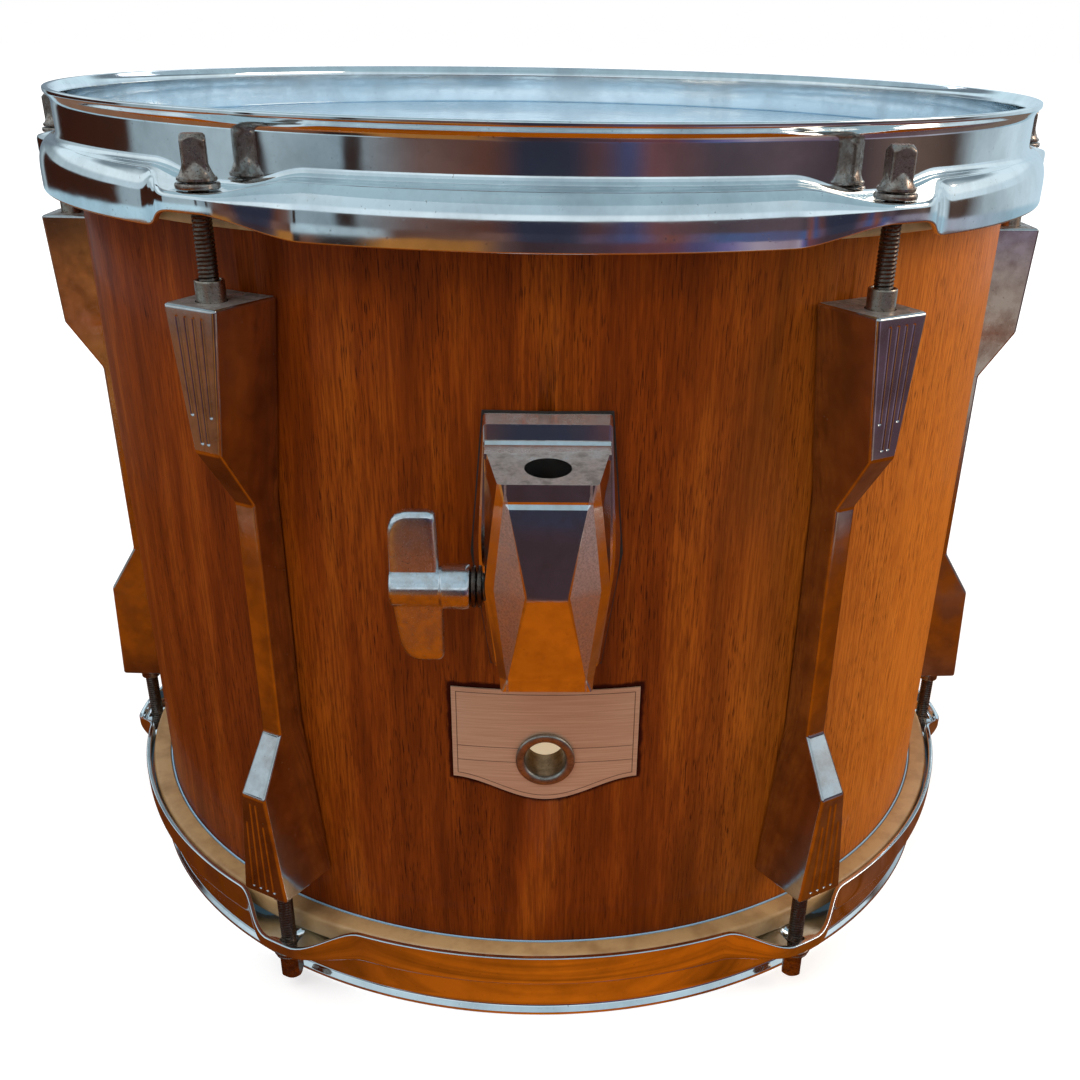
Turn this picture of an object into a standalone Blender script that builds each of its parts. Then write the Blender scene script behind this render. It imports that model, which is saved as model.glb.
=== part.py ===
"""A 13 by 10 inch rack tom: wooden shell, two heads under flanged hoops, full-length lugs and a bracket.

The drum stands on its resonant hoop with its axis along +Z, and the bracket faces -Y.
The origin is on the floor in the middle of the whole part, so the drum's own axis stands a little behind it.
Azimuth is counted from the front, positive towards +X.
"""

from math import cos, pi, radians, sin, tan

import bmesh
import bpy
from mathutils import Matrix

MM = 0.001
SEAT_GAP = 0.3 * MM  # between pieces that touch
RUN_GAP = 0.35 * MM  # round a turning or sliding shaft
FACETS = 60  # of each turned drum piece
SMALL_FACETS = 12  # of each turned fitting
PAST = 2 * MM  # how far a cutter runs past a face

# Shell
SHELL_RADIUS = 164 * MM
SHELL_WALL = 8 * MM
SHELL_DEPTH = 254 * MM
BEARING_BEVEL = 5 * MM
EDGE_ROUND = 1.5 * MM

# Heads
FILM = 0.5 * MM
CHANNEL_WIDTH = 7 * MM
CHANNEL_HEIGHT = 8 * MM
CHANNEL_DROP = 4.6 * MM  # from the bearing edge to the top of the flesh hoop

# Counter hoops
SHEET = 1.8 * MM
LIP_RISE = 16 * MM  # above the bearing edge
LIP_FLARE = 2 * MM
LIP_EDGE = 1.3 * MM
WALL_OFFSET = 4.5 * MM  # hoop wall's outside beyond the shell
SHOULDER_TOP = 1.4 * MM  # over the bearing edge
SHOULDER_FALL = 5.6 * MM
SKIRT_OFFSET = 6.4 * MM  # skirt's outside beyond the hoop wall
SKIRT_END = 13.8 * MM  # below the bearing edge
EAR_WIDTH = 12 * MM  # flat part of an ear
EAR_SPREAD = 42 * MM  # where an ear has died out
EAR_LIP_RISE = 6.3 * MM

# Tension rods, washers and swivel nuts
ROD_COUNT = 6
ROD_OFFSET = 14.2 * MM  # rod's axis beyond the shell
ROD_RADIUS = 2.7 * MM
ROD_REACH = 52 * MM  # under the head
ROD_HOLE_GAP = 0.55 * MM
KEY_SQUARE = 6.35 * MM
KEY_HEIGHT = 8.1 * MM
ROD_FLANGE_RADIUS = 5.1 * MM
ROD_FLANGE = 1.1 * MM
ROD_CONE = 1.9 * MM
WASHER_RADIUS = 5.7 * MM
WASHER = 1.6 * MM
NUT_COLLAR_RADIUS = 3.95 * MM
NUT_COLLAR_RISE = 5.5 * MM  # over the lug
NUT_BODY_RADIUS = 5.0 * MM
NUT_LENGTH = 16 * MM  # inside the lug
LUG_CAP = 2.7 * MM  # metal over the nut

# Lugs
LUG_DROP = 30 * MM  # from the bearing edge to the lug's end
LUG_REACH = 8.8 * MM  # face beyond the rod's axis
LUG_BLOCK = 40 * MM
LUG_CHAMFER = 18 * MM
LUG_RIB_REACH = 11.5 * MM  # beyond the shell
LUG_END_HALF = 9 * MM
LUG_BLOCK_HALF = 4.8 * MM
LUG_RIB_HALF = 3.8 * MM
LUG_DRAFT = 1.2 * MM  # how much wider each side is at the shell
LUG_SCREW_INSET = 33 * MM  # from the lug's end
LUG_SCREW_BITE = 4 * MM
ROD_END_ROOM = 4 * MM  # under the rod's tip
SCREW_RADIUS = 2.4 * MM
SCREW_HEAD_RADIUS = 5.2 * MM
SCREW_HEAD = 3 * MM

# Bracket
BRACKET_DROP = 56.5 * MM  # from the batter edge to the top of the base
BASE_HEIGHT = 76.5 * MM
BASE_TOP_HALF = 17.5 * MM
BASE_WAIST_HALF = 21.4 * MM
BASE_WAIST_DROP = 41 * MM
BASE_FOOT_HALF = 16.2 * MM
BASE_THICKNESS = 4.5 * MM
GASKET = 1 * MM
GASKET_MARGIN = 0.4 * MM
BODY_DROP = 7.2 * MM  # from the base's top to the body's
BODY_FOOT_RISE = 5 * MM
BODY_TAPER = 2.4 * MM
BODY_BORDER = 1 * MM
BODY_BACK_HALF = 17.3 * MM
BODY_FRONT_HALF = 12.1 * MM
BODY_SIDE_HALF = 16.6 * MM
BODY_WAIST_DROP = 31.3 * MM
RIDGE_HALF = 5.3 * MM
RIDGE_WIDTH = 2 * MM
RIDGE_REACH = 34 * MM  # beyond the shell
FACE_REACH = 30 * MM
SIDE_REACH = 27 * MM
TOP_FACE_FALL = 2.4 * MM
BODY_LIP = 8 * MM
BORE_OFFSET = 20 * MM  # bore's axis beyond the shell
BORE_RADIUS = 6.2 * MM
CLAMP_DROP = 42.6 * MM  # from the base's top to the clamp screw
EYE_WALL = 2.7 * MM
EYE_HEIGHT = 9 * MM
EYE_TRAVEL = 1.5 * MM
BOLT_RADIUS = 4 * MM
UPPER_SCREW_DROP = 23 * MM  # from the base's top
LOWER_SCREW_RISE = 14.5 * MM  # from the base's foot
BRACKET_SCREW_BITE = 8.6 * MM  # beyond the shell
RING_RADIUS = 5.8 * MM
RING = 1.3 * MM
HUB_RADIUS = 5.6 * MM
HUB_LENGTH = 21.8 * MM
NECK_RADIUS = 6.35 * MM  # of the hub's end at the rings
NECK_LENGTH = 7.7 * MM
BOLT_INSET = 1.8 * MM  # of the bolt's tip in the hub
WING_SPAN = 22.2 * MM
WING_WIDTH = 13.7 * MM
WING_THICKNESS = 4.6 * MM
WING_TAPER = 2.8 * MM
WING_LEAN = 0.7 * MM  # of both inner edges towards the lower wing's end
WING_CORNER = 3.4 * MM

# Badge and vent
BADGE_GAP = 9.7 * MM  # under the bracket
VENT_RADIUS = 6.3 * MM
VENT_TUBE = 0.7 * MM
VENT_FLANGE_RADIUS = 9.25 * MM
VENT_FLANGE = 1.2 * MM
VENT_ROUND = 0.8 * MM
BADGE_HALF = 29 * MM
BADGE_TOP = 24.3 * MM  # over the vent
BADGE_FOOT = 8 * MM  # below the vent
BADGE_POINT = 15.3 * MM
BADGE_PLATE = 0.6 * MM

HEIGHT = SHELL_DEPTH + 2 * LIP_RISE
BATTER_EDGE = HEIGHT - LIP_RISE
ROD_CIRCLE = SHELL_RADIUS + ROD_OFFSET
ROD_AZIMUTHS = [(0.5 + i) * 360 / ROD_COUNT for i in range(ROD_COUNT)]
COLLAR_RADIUS = SHELL_RADIUS + SEAT_GAP + FILM
CHANNEL_INSIDE = COLLAR_RADIUS + SEAT_GAP
EAR_TOP = SEAT_GAP + SHEET - CHANNEL_DROP
HOOP_WALL = SHELL_RADIUS + WALL_OFFSET
SKIRT_RADIUS = max(HOOP_WALL + SKIRT_OFFSET, CHANNEL_INSIDE + CHANNEL_WIDTH + SEAT_GAP + SHEET)
EAR_RADIUS = max(ROD_CIRCLE + WASHER_RADIUS + 2 * SEAT_GAP, SKIRT_RADIUS)
ROD_SEAT = EAR_TOP + WASHER + 2 * SEAT_GAP
BRACKET_BACK = SHELL_RADIUS + GASKET + 2 * SEAT_GAP
BASE_TOP = BATTER_EDGE - BRACKET_DROP
BASE_FOOT = BASE_TOP - BASE_HEIGHT
CLAMP_Z = BASE_TOP - CLAMP_DROP
BORE_Y = -(SHELL_RADIUS + BORE_OFFSET)
BRACKET_SCREWS = {"upper": BASE_TOP - UPPER_SCREW_DROP, "lower": BASE_FOOT + LOWER_SCREW_RISE}
VENT_Z = BASE_FOOT - BADGE_GAP - BADGE_TOP
AXIS_Y = (RIDGE_REACH + SHELL_RADIUS - SKIRT_RADIUS) / 2


def material(name, colour, metallic, roughness):
    made = bpy.data.materials.new(name)
    made.use_nodes = True
    made.diffuse_color = (*colour, 1)
    shader = made.node_tree.nodes["Principled BSDF"]
    shader.inputs["Base Color"].default_value = (*colour, 1)
    shader.inputs["Metallic"].default_value = metallic
    shader.inputs["Roughness"].default_value = roughness
    return made


def collection(name, hidden=False):
    made = bpy.data.collections.new(name)
    bpy.context.scene.collection.children.link(made)
    made.hide_render = hidden
    return made


def mesh_of(shape, name):
    """The bmesh as a mesh, with its normals out and its round sides smooth."""
    bmesh.ops.recalc_face_normals(shape, faces=shape.faces)
    mesh = bpy.data.meshes.new(name)
    shape.to_mesh(mesh)
    shape.free()
    mesh.shade_smooth()
    mesh.set_sharp_from_angle(angle=radians(35))
    return mesh


def empty(name, location, rotation=(0, 0, 0), parent=None):
    made = bpy.data.objects.new(name, None)
    made.location = location
    made.rotation_euler = rotation
    made.parent = parent
    DRUM.objects.link(made)
    return made


def piece(name, mesh, finish, location=(0, 0, 0), rotation=(0, 0, 0), parent=None):
    made = bpy.data.objects.new(name, mesh)
    made.location = location
    made.rotation_euler = rotation
    made.parent = parent or AXIS
    if not mesh.materials:
        mesh.materials.append(finish)
    DRUM.objects.link(made)
    return made


def cutter(name, mesh, location=(0, 0, 0), rotation=(0, 0, 0)):
    made = bpy.data.objects.new(name, mesh)
    made.location = location
    made.rotation_euler = rotation
    made.parent = AXIS
    made.hide_render = True
    made.display_type = "WIRE"
    CUTTERS.objects.link(made)
    return made


def boolean(target, other, operation="DIFFERENCE"):
    step = target.modifiers.new(other.name, "BOOLEAN")
    step.operation = operation
    step.object = other
    step.solver = "EXACT"


def baked(target, name):
    """The target's mesh with its modifiers applied, for pieces that share it."""
    bpy.context.view_layer.update()
    graph = bpy.context.evaluated_depsgraph_get()
    mesh = bpy.data.meshes.new_from_object(target.evaluated_get(graph))
    mesh.name = name
    bpy.data.objects.remove(target)
    return mesh


def turned(name, profile, facets, closed=True):
    """A profile of (radius, height) points, clockwise from the top of its outer side, turned about Z."""
    shape = bmesh.new()
    points = [shape.verts.new((r, 0, z)) for r, z in profile]
    for a, b in zip(points, points[1:] + points[:1] if closed else points[1:]):
        shape.edges.new((a, b))
    mesh = bpy.data.meshes.new(name)
    shape.to_mesh(mesh)
    shape.free()
    made = bpy.data.objects.new(name, mesh)
    DRUM.objects.link(made)
    screw = made.modifiers.new("turn", "SCREW")
    screw.axis = "Z"
    screw.steps = screw.render_steps = facets
    screw.use_merge_vertices = True
    screw.merge_threshold = 0.00001
    screw.use_smooth_shade = True
    return baked(made, name)


def tube(name, outside, inside, low, high, facets=SMALL_FACETS):
    return turned(name, [(outside, high), (outside, low), (inside, low), (inside, high)], facets)


def cylinders(name, radius, low, high, places, facets=SMALL_FACETS):
    """Closed cylinders from low to high along the Z axis of each place."""
    shape = bmesh.new()
    sizes = {"radius1": radius, "radius2": radius, "depth": high - low}
    for place in places:
        middle = place @ Matrix.Translation((0, 0, (low + high) / 2))
        bmesh.ops.create_cone(shape, cap_ends=True, segments=facets, matrix=middle, **sizes)
    return mesh_of(shape, name)


def loft(name, rings):
    """Rings with the same number of points, skinned in order and capped at both ends."""
    shape = bmesh.new()
    rows = [[shape.verts.new(point) for point in ring] for ring in rings]
    count = len(rows[0])
    for low, high in zip(rows, rows[1:]):
        for i in range(count):
            j = (i + 1) % count
            shape.faces.new((low[i], low[j], high[j], high[i]))
    shape.faces.new(rows[0])
    shape.faces.new(rows[-1])
    return mesh_of(shape, name)


def plate(name, outline, thickness):
    """A flat outline in X and Z, thickened both ways along Y."""
    return loft(name, [[(x, y, z) for x, z in outline] for y in (-thickness / 2, thickness / 2)])


def along_radius(azimuth, height):
    """The place of a cylinder that lies along the outward radius at a height."""
    lift = Matrix.Translation((0, 0, height))
    return Matrix.Rotation(radians(azimuth), 4, "Z") @ lift @ Matrix.Rotation(pi / 2, 4, "X")


def rod_place(azimuth):
    """The place of a cylinder on a tension rod's axis, in the frame of a drum end."""
    return Matrix.Rotation(radians(azimuth), 4, "Z") @ Matrix.Translation((0, -ROD_CIRCLE, 0))


def inside_seat(reach):
    """How far out a flat piece can sit inside the shell, when its edge is a reach from its middle."""
    return SHELL_RADIUS - SHELL_WALL - SEAT_GAP - reach * tan(pi / FACETS)


def ear_share(arc):
    """1 on an ear's flat, 0 past its spread, and a smooth S between, for a distance along the hoop."""
    start, end = EAR_WIDTH / 2, EAR_SPREAD / 2
    t = min(max((end - abs(arc)) / (end - start), 0), 1)
    return t * t * (3 - 2 * t)


def mixed(plain, eared, share):
    return tuple(a + (b - a) * share for a, b in zip(plain, eared))


def hoop_section(share):
    """The hoop's sheet in radius and height, from the lip round the skirt and back, mixed with an ear's."""
    fold = SHEET / 2
    shoulder_low = SHOULDER_TOP - SHOULDER_FALL
    ear_end = EAR_LIP_RISE - SKIRT_END
    plain = [
        (HOOP_WALL + LIP_FLARE, LIP_RISE),
        (HOOP_WALL + LIP_FLARE, LIP_RISE - LIP_EDGE),
        (HOOP_WALL, LIP_RISE - LIP_EDGE - LIP_FLARE),
        (HOOP_WALL, SHOULDER_TOP),
        (SKIRT_RADIUS - SHEET, SHOULDER_TOP - SHOULDER_FALL / 2),
        (SKIRT_RADIUS, shoulder_low),
        (SKIRT_RADIUS, -SKIRT_END),
        (SKIRT_RADIUS - SHEET, -SKIRT_END),
        (SKIRT_RADIUS - SHEET, shoulder_low - fold / 2),
        (HOOP_WALL - SHEET, SHOULDER_TOP - SHEET),
        (HOOP_WALL - SHEET, LIP_RISE - LIP_FLARE),
        (HOOP_WALL + LIP_FLARE - SHEET, LIP_RISE),
    ]
    eared = plain[:3] + [
        (HOOP_WALL, EAR_TOP),
        (EAR_RADIUS - fold, EAR_TOP),
        (EAR_RADIUS, EAR_TOP - fold),
        (EAR_RADIUS, ear_end),
        (EAR_RADIUS - SHEET, ear_end),
        (EAR_RADIUS - SHEET, EAR_TOP - SHEET),
        (HOOP_WALL - SHEET, EAR_TOP - SHEET),
    ]
    eared += plain[10:]
    return [mixed(a, b, share) for a, b in zip(plain, eared)]


def hoop_mesh():
    """The hoop as a loft of its section round the drum, with more stations where an ear rises."""
    start, end = EAR_WIDTH / 2, EAR_SPREAD / 2
    angles = [(start + (end - start) * share) / SKIRT_RADIUS for share in (0, 0.35, 0.7, 1)]
    half = pi / ROD_COUNT
    angles += [angles[-1] + (half - angles[-1]) * share for share in (0.36, 0.68)]
    stations = [-half] + [-a for a in reversed(angles)] + angles
    shape = bmesh.new()
    rows = []
    for centre in ROD_AZIMUTHS:
        for station in stations:
            azimuth = radians(centre) + station
            section = hoop_section(ear_share(station * SKIRT_RADIUS))
            rows.append([shape.verts.new((r * sin(azimuth), -r * cos(azimuth), z)) for r, z in section])
    for row, following in zip(rows, rows[1:] + rows[:1]):
        for i in range(len(row)):
            j = (i + 1) % len(row)
            shape.faces.new((row[i], row[j], following[j], following[i]))
    return mesh_of(shape, "counter_hoop")


def film_mesh():
    """A head's film: flat over the edge, then down round the shell into the flesh hoop."""
    top = SEAT_GAP + FILM
    inside = COLLAR_RADIUS - FILM
    end = -CHANNEL_DROP - CHANNEL_HEIGHT
    return turned(
        "film",
        [(0, top), (inside, top), (COLLAR_RADIUS, SEAT_GAP), (COLLAR_RADIUS, end), (inside, end)]
        + [(inside, 0), (inside - FILM, SEAT_GAP), (0, SEAT_GAP)],
        FACETS,
        closed=False,
    )


def shell_mesh():
    """The shell with its edges cut down at 45 degrees on the inside, in the drum's frame."""
    inside = SHELL_RADIUS - SHELL_WALL
    return turned(
        "shell",
        [
            (SHELL_RADIUS - EDGE_ROUND, BATTER_EDGE),
            (SHELL_RADIUS, BATTER_EDGE - EDGE_ROUND),
            (SHELL_RADIUS, LIP_RISE + EDGE_ROUND),
            (SHELL_RADIUS - EDGE_ROUND, LIP_RISE),
            (inside + BEARING_BEVEL, LIP_RISE),
            (inside, LIP_RISE + BEARING_BEVEL),
            (inside, BATTER_EDGE - BEARING_BEVEL),
            (inside + BEARING_BEVEL, BATTER_EDGE),
        ],
        FACETS,
    )


def square_ring(half, z):
    """Eight points round a square, its corners and the middles of its sides."""
    return [
        (half * x, half * y, z)
        for x, y in ((1, 0), (1, 1), (0, 1), (-1, 1), (-1, 0), (-1, -1), (0, -1), (1, -1))
    ]


def round_ring(radius, z):
    return [(radius * cos(pi / 4 * i), radius * sin(pi / 4 * i), z) for i in range(8)]


def tension_rod_mesh():
    """A rod in the frame of a drum end: shaft, flange, and a square head for the key."""
    key = ROD_SEAT + ROD_FLANGE + ROD_CONE
    return loft(
        "tension_rod",
        [
            round_ring(ROD_RADIUS, ROD_SEAT - ROD_REACH),
            round_ring(ROD_RADIUS, ROD_SEAT),
            round_ring(ROD_FLANGE_RADIUS, ROD_SEAT),
            round_ring(ROD_FLANGE_RADIUS, ROD_SEAT + ROD_FLANGE),
            square_ring(KEY_SQUARE / 2, key),
            square_ring(KEY_SQUARE / 2, key + KEY_HEIGHT),
        ],
    )


def swivel_nut_mesh():
    """A nut whose collar stands out of the lug's end, in the frame of a drum end."""
    bore = ROD_RADIUS + RUN_GAP
    top = NUT_COLLAR_RISE - LUG_DROP
    step = -LUG_DROP - LUG_CAP - SEAT_GAP
    low = step - NUT_LENGTH
    outside = [(NUT_COLLAR_RADIUS, top), (NUT_COLLAR_RADIUS, step), (NUT_BODY_RADIUS, step)]
    return turned("swivel_nut", outside + [(NUT_BODY_RADIUS, low), (bore, low), (bore, top)], SMALL_FACETS)


def screw_mesh(tip):
    """A pan head screw along Z, its head inside the shell and its tip outside."""
    seat = inside_seat(SCREW_HEAD_RADIUS)
    crown = SCREW_HEAD_RADIUS - SCREW_HEAD / 2
    return turned(
        "screw",
        [(0, tip), (SCREW_RADIUS, tip), (SCREW_RADIUS, seat), (SCREW_HEAD_RADIUS, seat)]
        + [(crown, seat - SCREW_HEAD), (0, seat - SCREW_HEAD)],
        8,
        closed=False,
    )


def lug_socket_mesh():
    """The cutter for a lug's end, in a drum end's frame: a mouth for the nut's collar and a blind socket."""
    cap = -LUG_DROP - LUG_CAP
    low = ROD_SEAT - ROD_REACH - ROD_END_ROOM
    mouth = NUT_COLLAR_RADIUS + RUN_GAP
    socket = NUT_BODY_RADIUS + RUN_GAP
    top = PAST - LUG_DROP
    return turned(
        "lug_socket",
        [(0, top), (mouth, top), (mouth, cap), (socket, cap), (socket, low), (0, low)],
        SMALL_FACETS,
        closed=False,
    )


def lug_section(z, base_half, face_half, reach):
    """A lug's section at a height: two corners inside the shell's line and two at its face."""
    back = PAST - SHELL_RADIUS
    return [(-base_half, back, z), (-face_half, -reach, z), (face_half, -reach, z), (base_half, back, z)]


def lug_mesh():
    """A lug at the front: wide blocks at both ends that taper to a thin rib, with sockets and two screws."""
    middle = HEIGHT / 2
    end = SHELL_DEPTH / 2 - LUG_DROP
    face = ROD_CIRCLE + LUG_REACH
    stops = [
        (end, LUG_END_HALF + LUG_DRAFT, LUG_END_HALF, face),
        (end - LUG_BLOCK, LUG_BLOCK_HALF + LUG_DRAFT, LUG_BLOCK_HALF, face),
        (end - LUG_BLOCK - LUG_CHAMFER, LUG_RIB_HALF, LUG_RIB_HALF, SHELL_RADIUS + LUG_RIB_REACH),
    ]
    upper = [lug_section(middle + z, *sizes) for z, *sizes in stops]
    lower = [lug_section(middle - z, *sizes) for z, *sizes in reversed(stops)]
    lug = piece("lug", loft("lug", upper + lower), NICKEL)
    saddle = cylinders("lug_saddle", SHELL_RADIUS + SEAT_GAP, 0, HEIGHT, [Matrix()], FACETS)
    boolean(lug, cutter("lug_saddle", saddle))
    socket = lug_socket_mesh()
    screw = screw_mesh(SHELL_RADIUS + LUG_SCREW_BITE)
    flips = {"upper": (BATTER_EDGE, 0), "lower": (LIP_RISE, pi)}
    for label, (z, flip) in flips.items():
        boolean(lug, cutter(f"{label}_lug_socket", socket, (0, -ROD_CIRCLE, z), (0, flip, 0)))
        screw_z = middle + (end - LUG_SCREW_INSET) * (1 if flip == 0 else -1)
        boolean(lug, cutter(f"{label}_lug_screw", screw, (0, 0, screw_z), (pi / 2, 0, 0)), "UNION")
    return baked(lug, "lug")


def make_shell():
    shell = piece("shell", shell_mesh(), LACQUER)
    inset = LIP_RISE + LUG_DROP + LUG_SCREW_INSET
    places = [along_radius(azimuth, z) for azimuth in ROD_AZIMUTHS for z in (inset, HEIGHT - inset)]
    places += [along_radius(0, z) for z in BRACKET_SCREWS.values()]
    inside, outside = SHELL_RADIUS - 2 * SHELL_WALL, SHELL_RADIUS + PAST
    screws = cylinders("screw_holes", SCREW_RADIUS + RUN_GAP, inside, outside, places, 8)
    boolean(shell, cutter("screw_holes", screws))
    vent = VENT_RADIUS + VENT_TUBE + RUN_GAP
    hole = cylinders("vent_hole", vent, inside, outside, [along_radius(0, VENT_Z)], 16)
    boolean(shell, cutter("vent_hole", hole))


def make_ends():
    """Both ends of the drum: head, flesh hoop, counter hoop, and the rods, washers and nuts."""
    hoop = piece("hoop", hoop_mesh(), CHROME)
    places = [rod_place(azimuth) for azimuth in ROD_AZIMUTHS]
    holes = cylinders("rod_holes", ROD_RADIUS + ROD_HOLE_GAP, EAR_TOP - SHEET - PAST, EAR_TOP + PAST, places)
    boolean(hoop, cutter("rod_holes", holes))
    high = -CHANNEL_DROP
    low = high - CHANNEL_HEIGHT
    flesh_hoop = tube("flesh_hoop", CHANNEL_INSIDE + CHANNEL_WIDTH, CHANNEL_INSIDE, low, high, FACETS)
    whole = {
        "head": (film_mesh(), CLEAR),
        "flesh_hoop": (flesh_hoop, CREAM),
        "hoop": (baked(hoop, "counter_hoop"), CHROME),
    }
    washer_low = EAR_TOP + SEAT_GAP
    at_rods = {
        "washer": tube("washer", WASHER_RADIUS, ROD_RADIUS + RUN_GAP, washer_low, washer_low + WASHER),
        "tension_rod": tension_rod_mesh(),
        "swivel_nut": swivel_nut_mesh(),
    }
    ends = {
        "batter": empty("batter_end", (0, 0, BATTER_EDGE), parent=AXIS),
        "resonant": empty("resonant_end", (0, 0, LIP_RISE), (0, pi, 0), AXIS),
    }
    for label, end in ends.items():
        for name, (mesh, finish) in whole.items():
            piece(f"{label}_{name}", mesh, finish, parent=end)
        for i, azimuth in enumerate(ROD_AZIMUTHS, 1):
            place = rod_place(azimuth).translation
            for name, mesh in at_rods.items():
                piece(f"{label}_{name}_{i}", mesh, STEEL, place, (0, 0, radians(azimuth)), end)


def make_lugs():
    lug = lug_mesh()
    for i, azimuth in enumerate(ROD_AZIMUTHS, 1):
        piece(f"lug_{i}", lug, NICKEL, rotation=(0, 0, radians(azimuth)))


def base_outline(margin=0):
    """The bracket's base seen from the front, down its right side and up its left."""
    right = [
        (BASE_TOP_HALF + margin, BASE_TOP + margin),
        (BASE_WAIST_HALF + margin, BASE_TOP - BASE_WAIST_DROP),
        (BASE_FOOT_HALF + margin, BASE_FOOT - margin),
    ]
    return right + [(-x, z) for x, z in reversed(right)]


def curved_plate(name, outline, inside, thickness):
    """A plate cut to an outline from a sleeve round the drum."""
    sleeve = piece(name, tube(name, inside + thickness, inside, 0, HEIGHT, FACETS), BLACK)
    flat = plate(name, outline, SHELL_RADIUS)
    boolean(sleeve, cutter(f"{name}_outline", flat, (0, -SHELL_RADIUS, 0)), "INTERSECT")
    mesh = baked(sleeve, name)
    mesh.materials.clear()
    return mesh


def body_section(z, back_half, side_half, side_reach, front_half, front_reach, fall=0):
    """A section of the bracket's body: back corners, side edges and front edges, sloping down by the fall."""
    back = BRACKET_BACK - PAST - SHELL_RADIUS
    base = BRACKET_BACK + BASE_THICKNESS - SHELL_RADIUS
    right = [(back_half, back), (back_half, base), (side_half, side_reach), (front_half, front_reach)]
    slope = fall / (front_reach - base)
    points = [(x, -SHELL_RADIUS - reach, z - slope * (reach - base)) for x, reach in right]
    return points + [(-x, y, z) for x, y, z in reversed(points)]


def body_mesh():
    """The bracket's faceted body: a flat top, a ridged waist at the clamp, and a narrower foot."""
    top = BASE_TOP - BODY_DROP
    waist = top - BODY_WAIST_DROP
    foot = BASE_FOOT + BODY_FOOT_RISE
    back, low_back = BODY_BACK_HALF, BODY_BACK_HALF - BODY_TAPER
    front, edge = BODY_FRONT_HALF, BODY_FRONT_HALF + BODY_BORDER
    ridge = (BODY_SIDE_HALF, SIDE_REACH, RIDGE_HALF, RIDGE_REACH)
    reach, low_reach = FACE_REACH - BODY_BORDER, FACE_REACH - BODY_FOOT_RISE
    narrow = (front - BODY_TAPER, FACE_REACH - BODY_TAPER)
    return loft(
        "bracket_body",
        [
            body_section(top, back, edge, reach, front, FACE_REACH, TOP_FACE_FALL),
            body_section(top - BODY_LIP, back, edge, reach - BODY_BORDER, front - BODY_BORDER, FACE_REACH),
            body_section(waist, back, *ridge),
            body_section(waist - RIDGE_WIDTH, back, *ridge),
            body_section(foot + BODY_FOOT_RISE, low_back, edge, low_reach, *narrow),
            body_section(foot, low_back, edge, low_reach, front, low_reach + BODY_BORDER),
        ],
    )


def bracket_mesh():
    """The bracket: a curved base and a faceted body, bored for the rod and hollowed for the eye bolt."""
    bracket = piece("bracket", body_mesh(), NICKEL)
    saddle = cylinders("bracket_saddle", BRACKET_BACK, 0, HEIGHT, [Matrix()], FACETS)
    boolean(bracket, cutter("bracket_saddle", saddle))
    base = curved_plate("bracket_base", base_outline(), BRACKET_BACK, BASE_THICKNESS)
    boolean(bracket, cutter("bracket_base", base), "UNION")
    bore = cylinders("holder_bore", BORE_RADIUS, BASE_FOOT - PAST, BASE_TOP + PAST, [Matrix()], 16)
    boolean(bracket, cutter("holder_bore", bore, (0, BORE_Y, 0)))
    room = BORE_RADIUS + EYE_WALL + EYE_TRAVEL + RUN_GAP
    half_tall = EYE_HEIGHT / 2 + RUN_GAP
    mouth = -BORE_Y - BRACKET_BACK + PAST
    outline = [(room, mouth)] + [(room * cos(a), -room * sin(a)) for a in (pi / 12 * i for i in range(13))]
    outline.append((-room, mouth))
    pocket = loft("eye_pocket", [[(x, y, z) for x, y in outline] for z in (-half_tall, half_tall)])
    boolean(bracket, cutter("eye_pocket", pocket, (0, BORE_Y, CLAMP_Z)))
    gland = cylinders("bolt_hole", BOLT_RADIUS + RUN_GAP, BORE_RADIUS, BASE_WAIST_HALF, [TOWARDS_NUT], 16)
    boolean(bracket, cutter("bolt_hole", gland, (0, BORE_Y, CLAMP_Z)))
    tip = SHELL_RADIUS + BRACKET_SCREW_BITE + SEAT_GAP
    places = [along_radius(0, z) for z in BRACKET_SCREWS.values()]
    holes = cylinders("bracket_screw_holes", SCREW_RADIUS + RUN_GAP, SHELL_RADIUS, tip, places, 8)
    boolean(bracket, cutter("bracket_screw_holes", holes))
    return baked(bracket, "mount_bracket")


def make_bracket():
    piece("mount_bracket", bracket_mesh(), NICKEL)
    sheet = curved_plate("bracket_gasket", base_outline(GASKET_MARGIN), SHELL_RADIUS + SEAT_GAP, GASKET)
    gasket = piece("bracket_gasket", sheet, BLACK)
    places = [along_radius(0, z) for z in BRACKET_SCREWS.values()]
    low, high = SHELL_RADIUS - PAST, SHELL_RADIUS + GASKET + PAST
    holes = cylinders("gasket_holes", SCREW_RADIUS + RUN_GAP, low, high, places, 8)
    boolean(gasket, cutter("gasket_holes", holes))
    screw = screw_mesh(SHELL_RADIUS + BRACKET_SCREW_BITE)
    for label, z in BRACKET_SCREWS.items():
        piece(f"bracket_screw_{label}", screw, STEEL, (0, 0, z), (pi / 2, 0, 0))


def wing_outline(side):
    """One wing in X and Z, from inside the hub to a tip with a round outer corner, the lower one narrower."""
    root = HUB_RADIUS / 2
    inner = WING_WIDTH - HUB_LENGTH
    outer = WING_TAPER - HUB_LENGTH if side < 0 else -HUB_LENGTH
    lean = side * WING_LEAN
    middle = (outer + WING_CORNER, WING_SPAN - WING_CORNER)
    turns = [pi / 8 * i for i in range(5)]
    corner = [(middle[0] - WING_CORNER * cos(a), middle[1] + WING_CORNER * sin(a)) for a in turns]
    points = [(-HUB_LENGTH, root)] + corner + [(inner - lean, WING_SPAN), (inner, root)]
    return [(x, side * z) for x, z in points]


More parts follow.
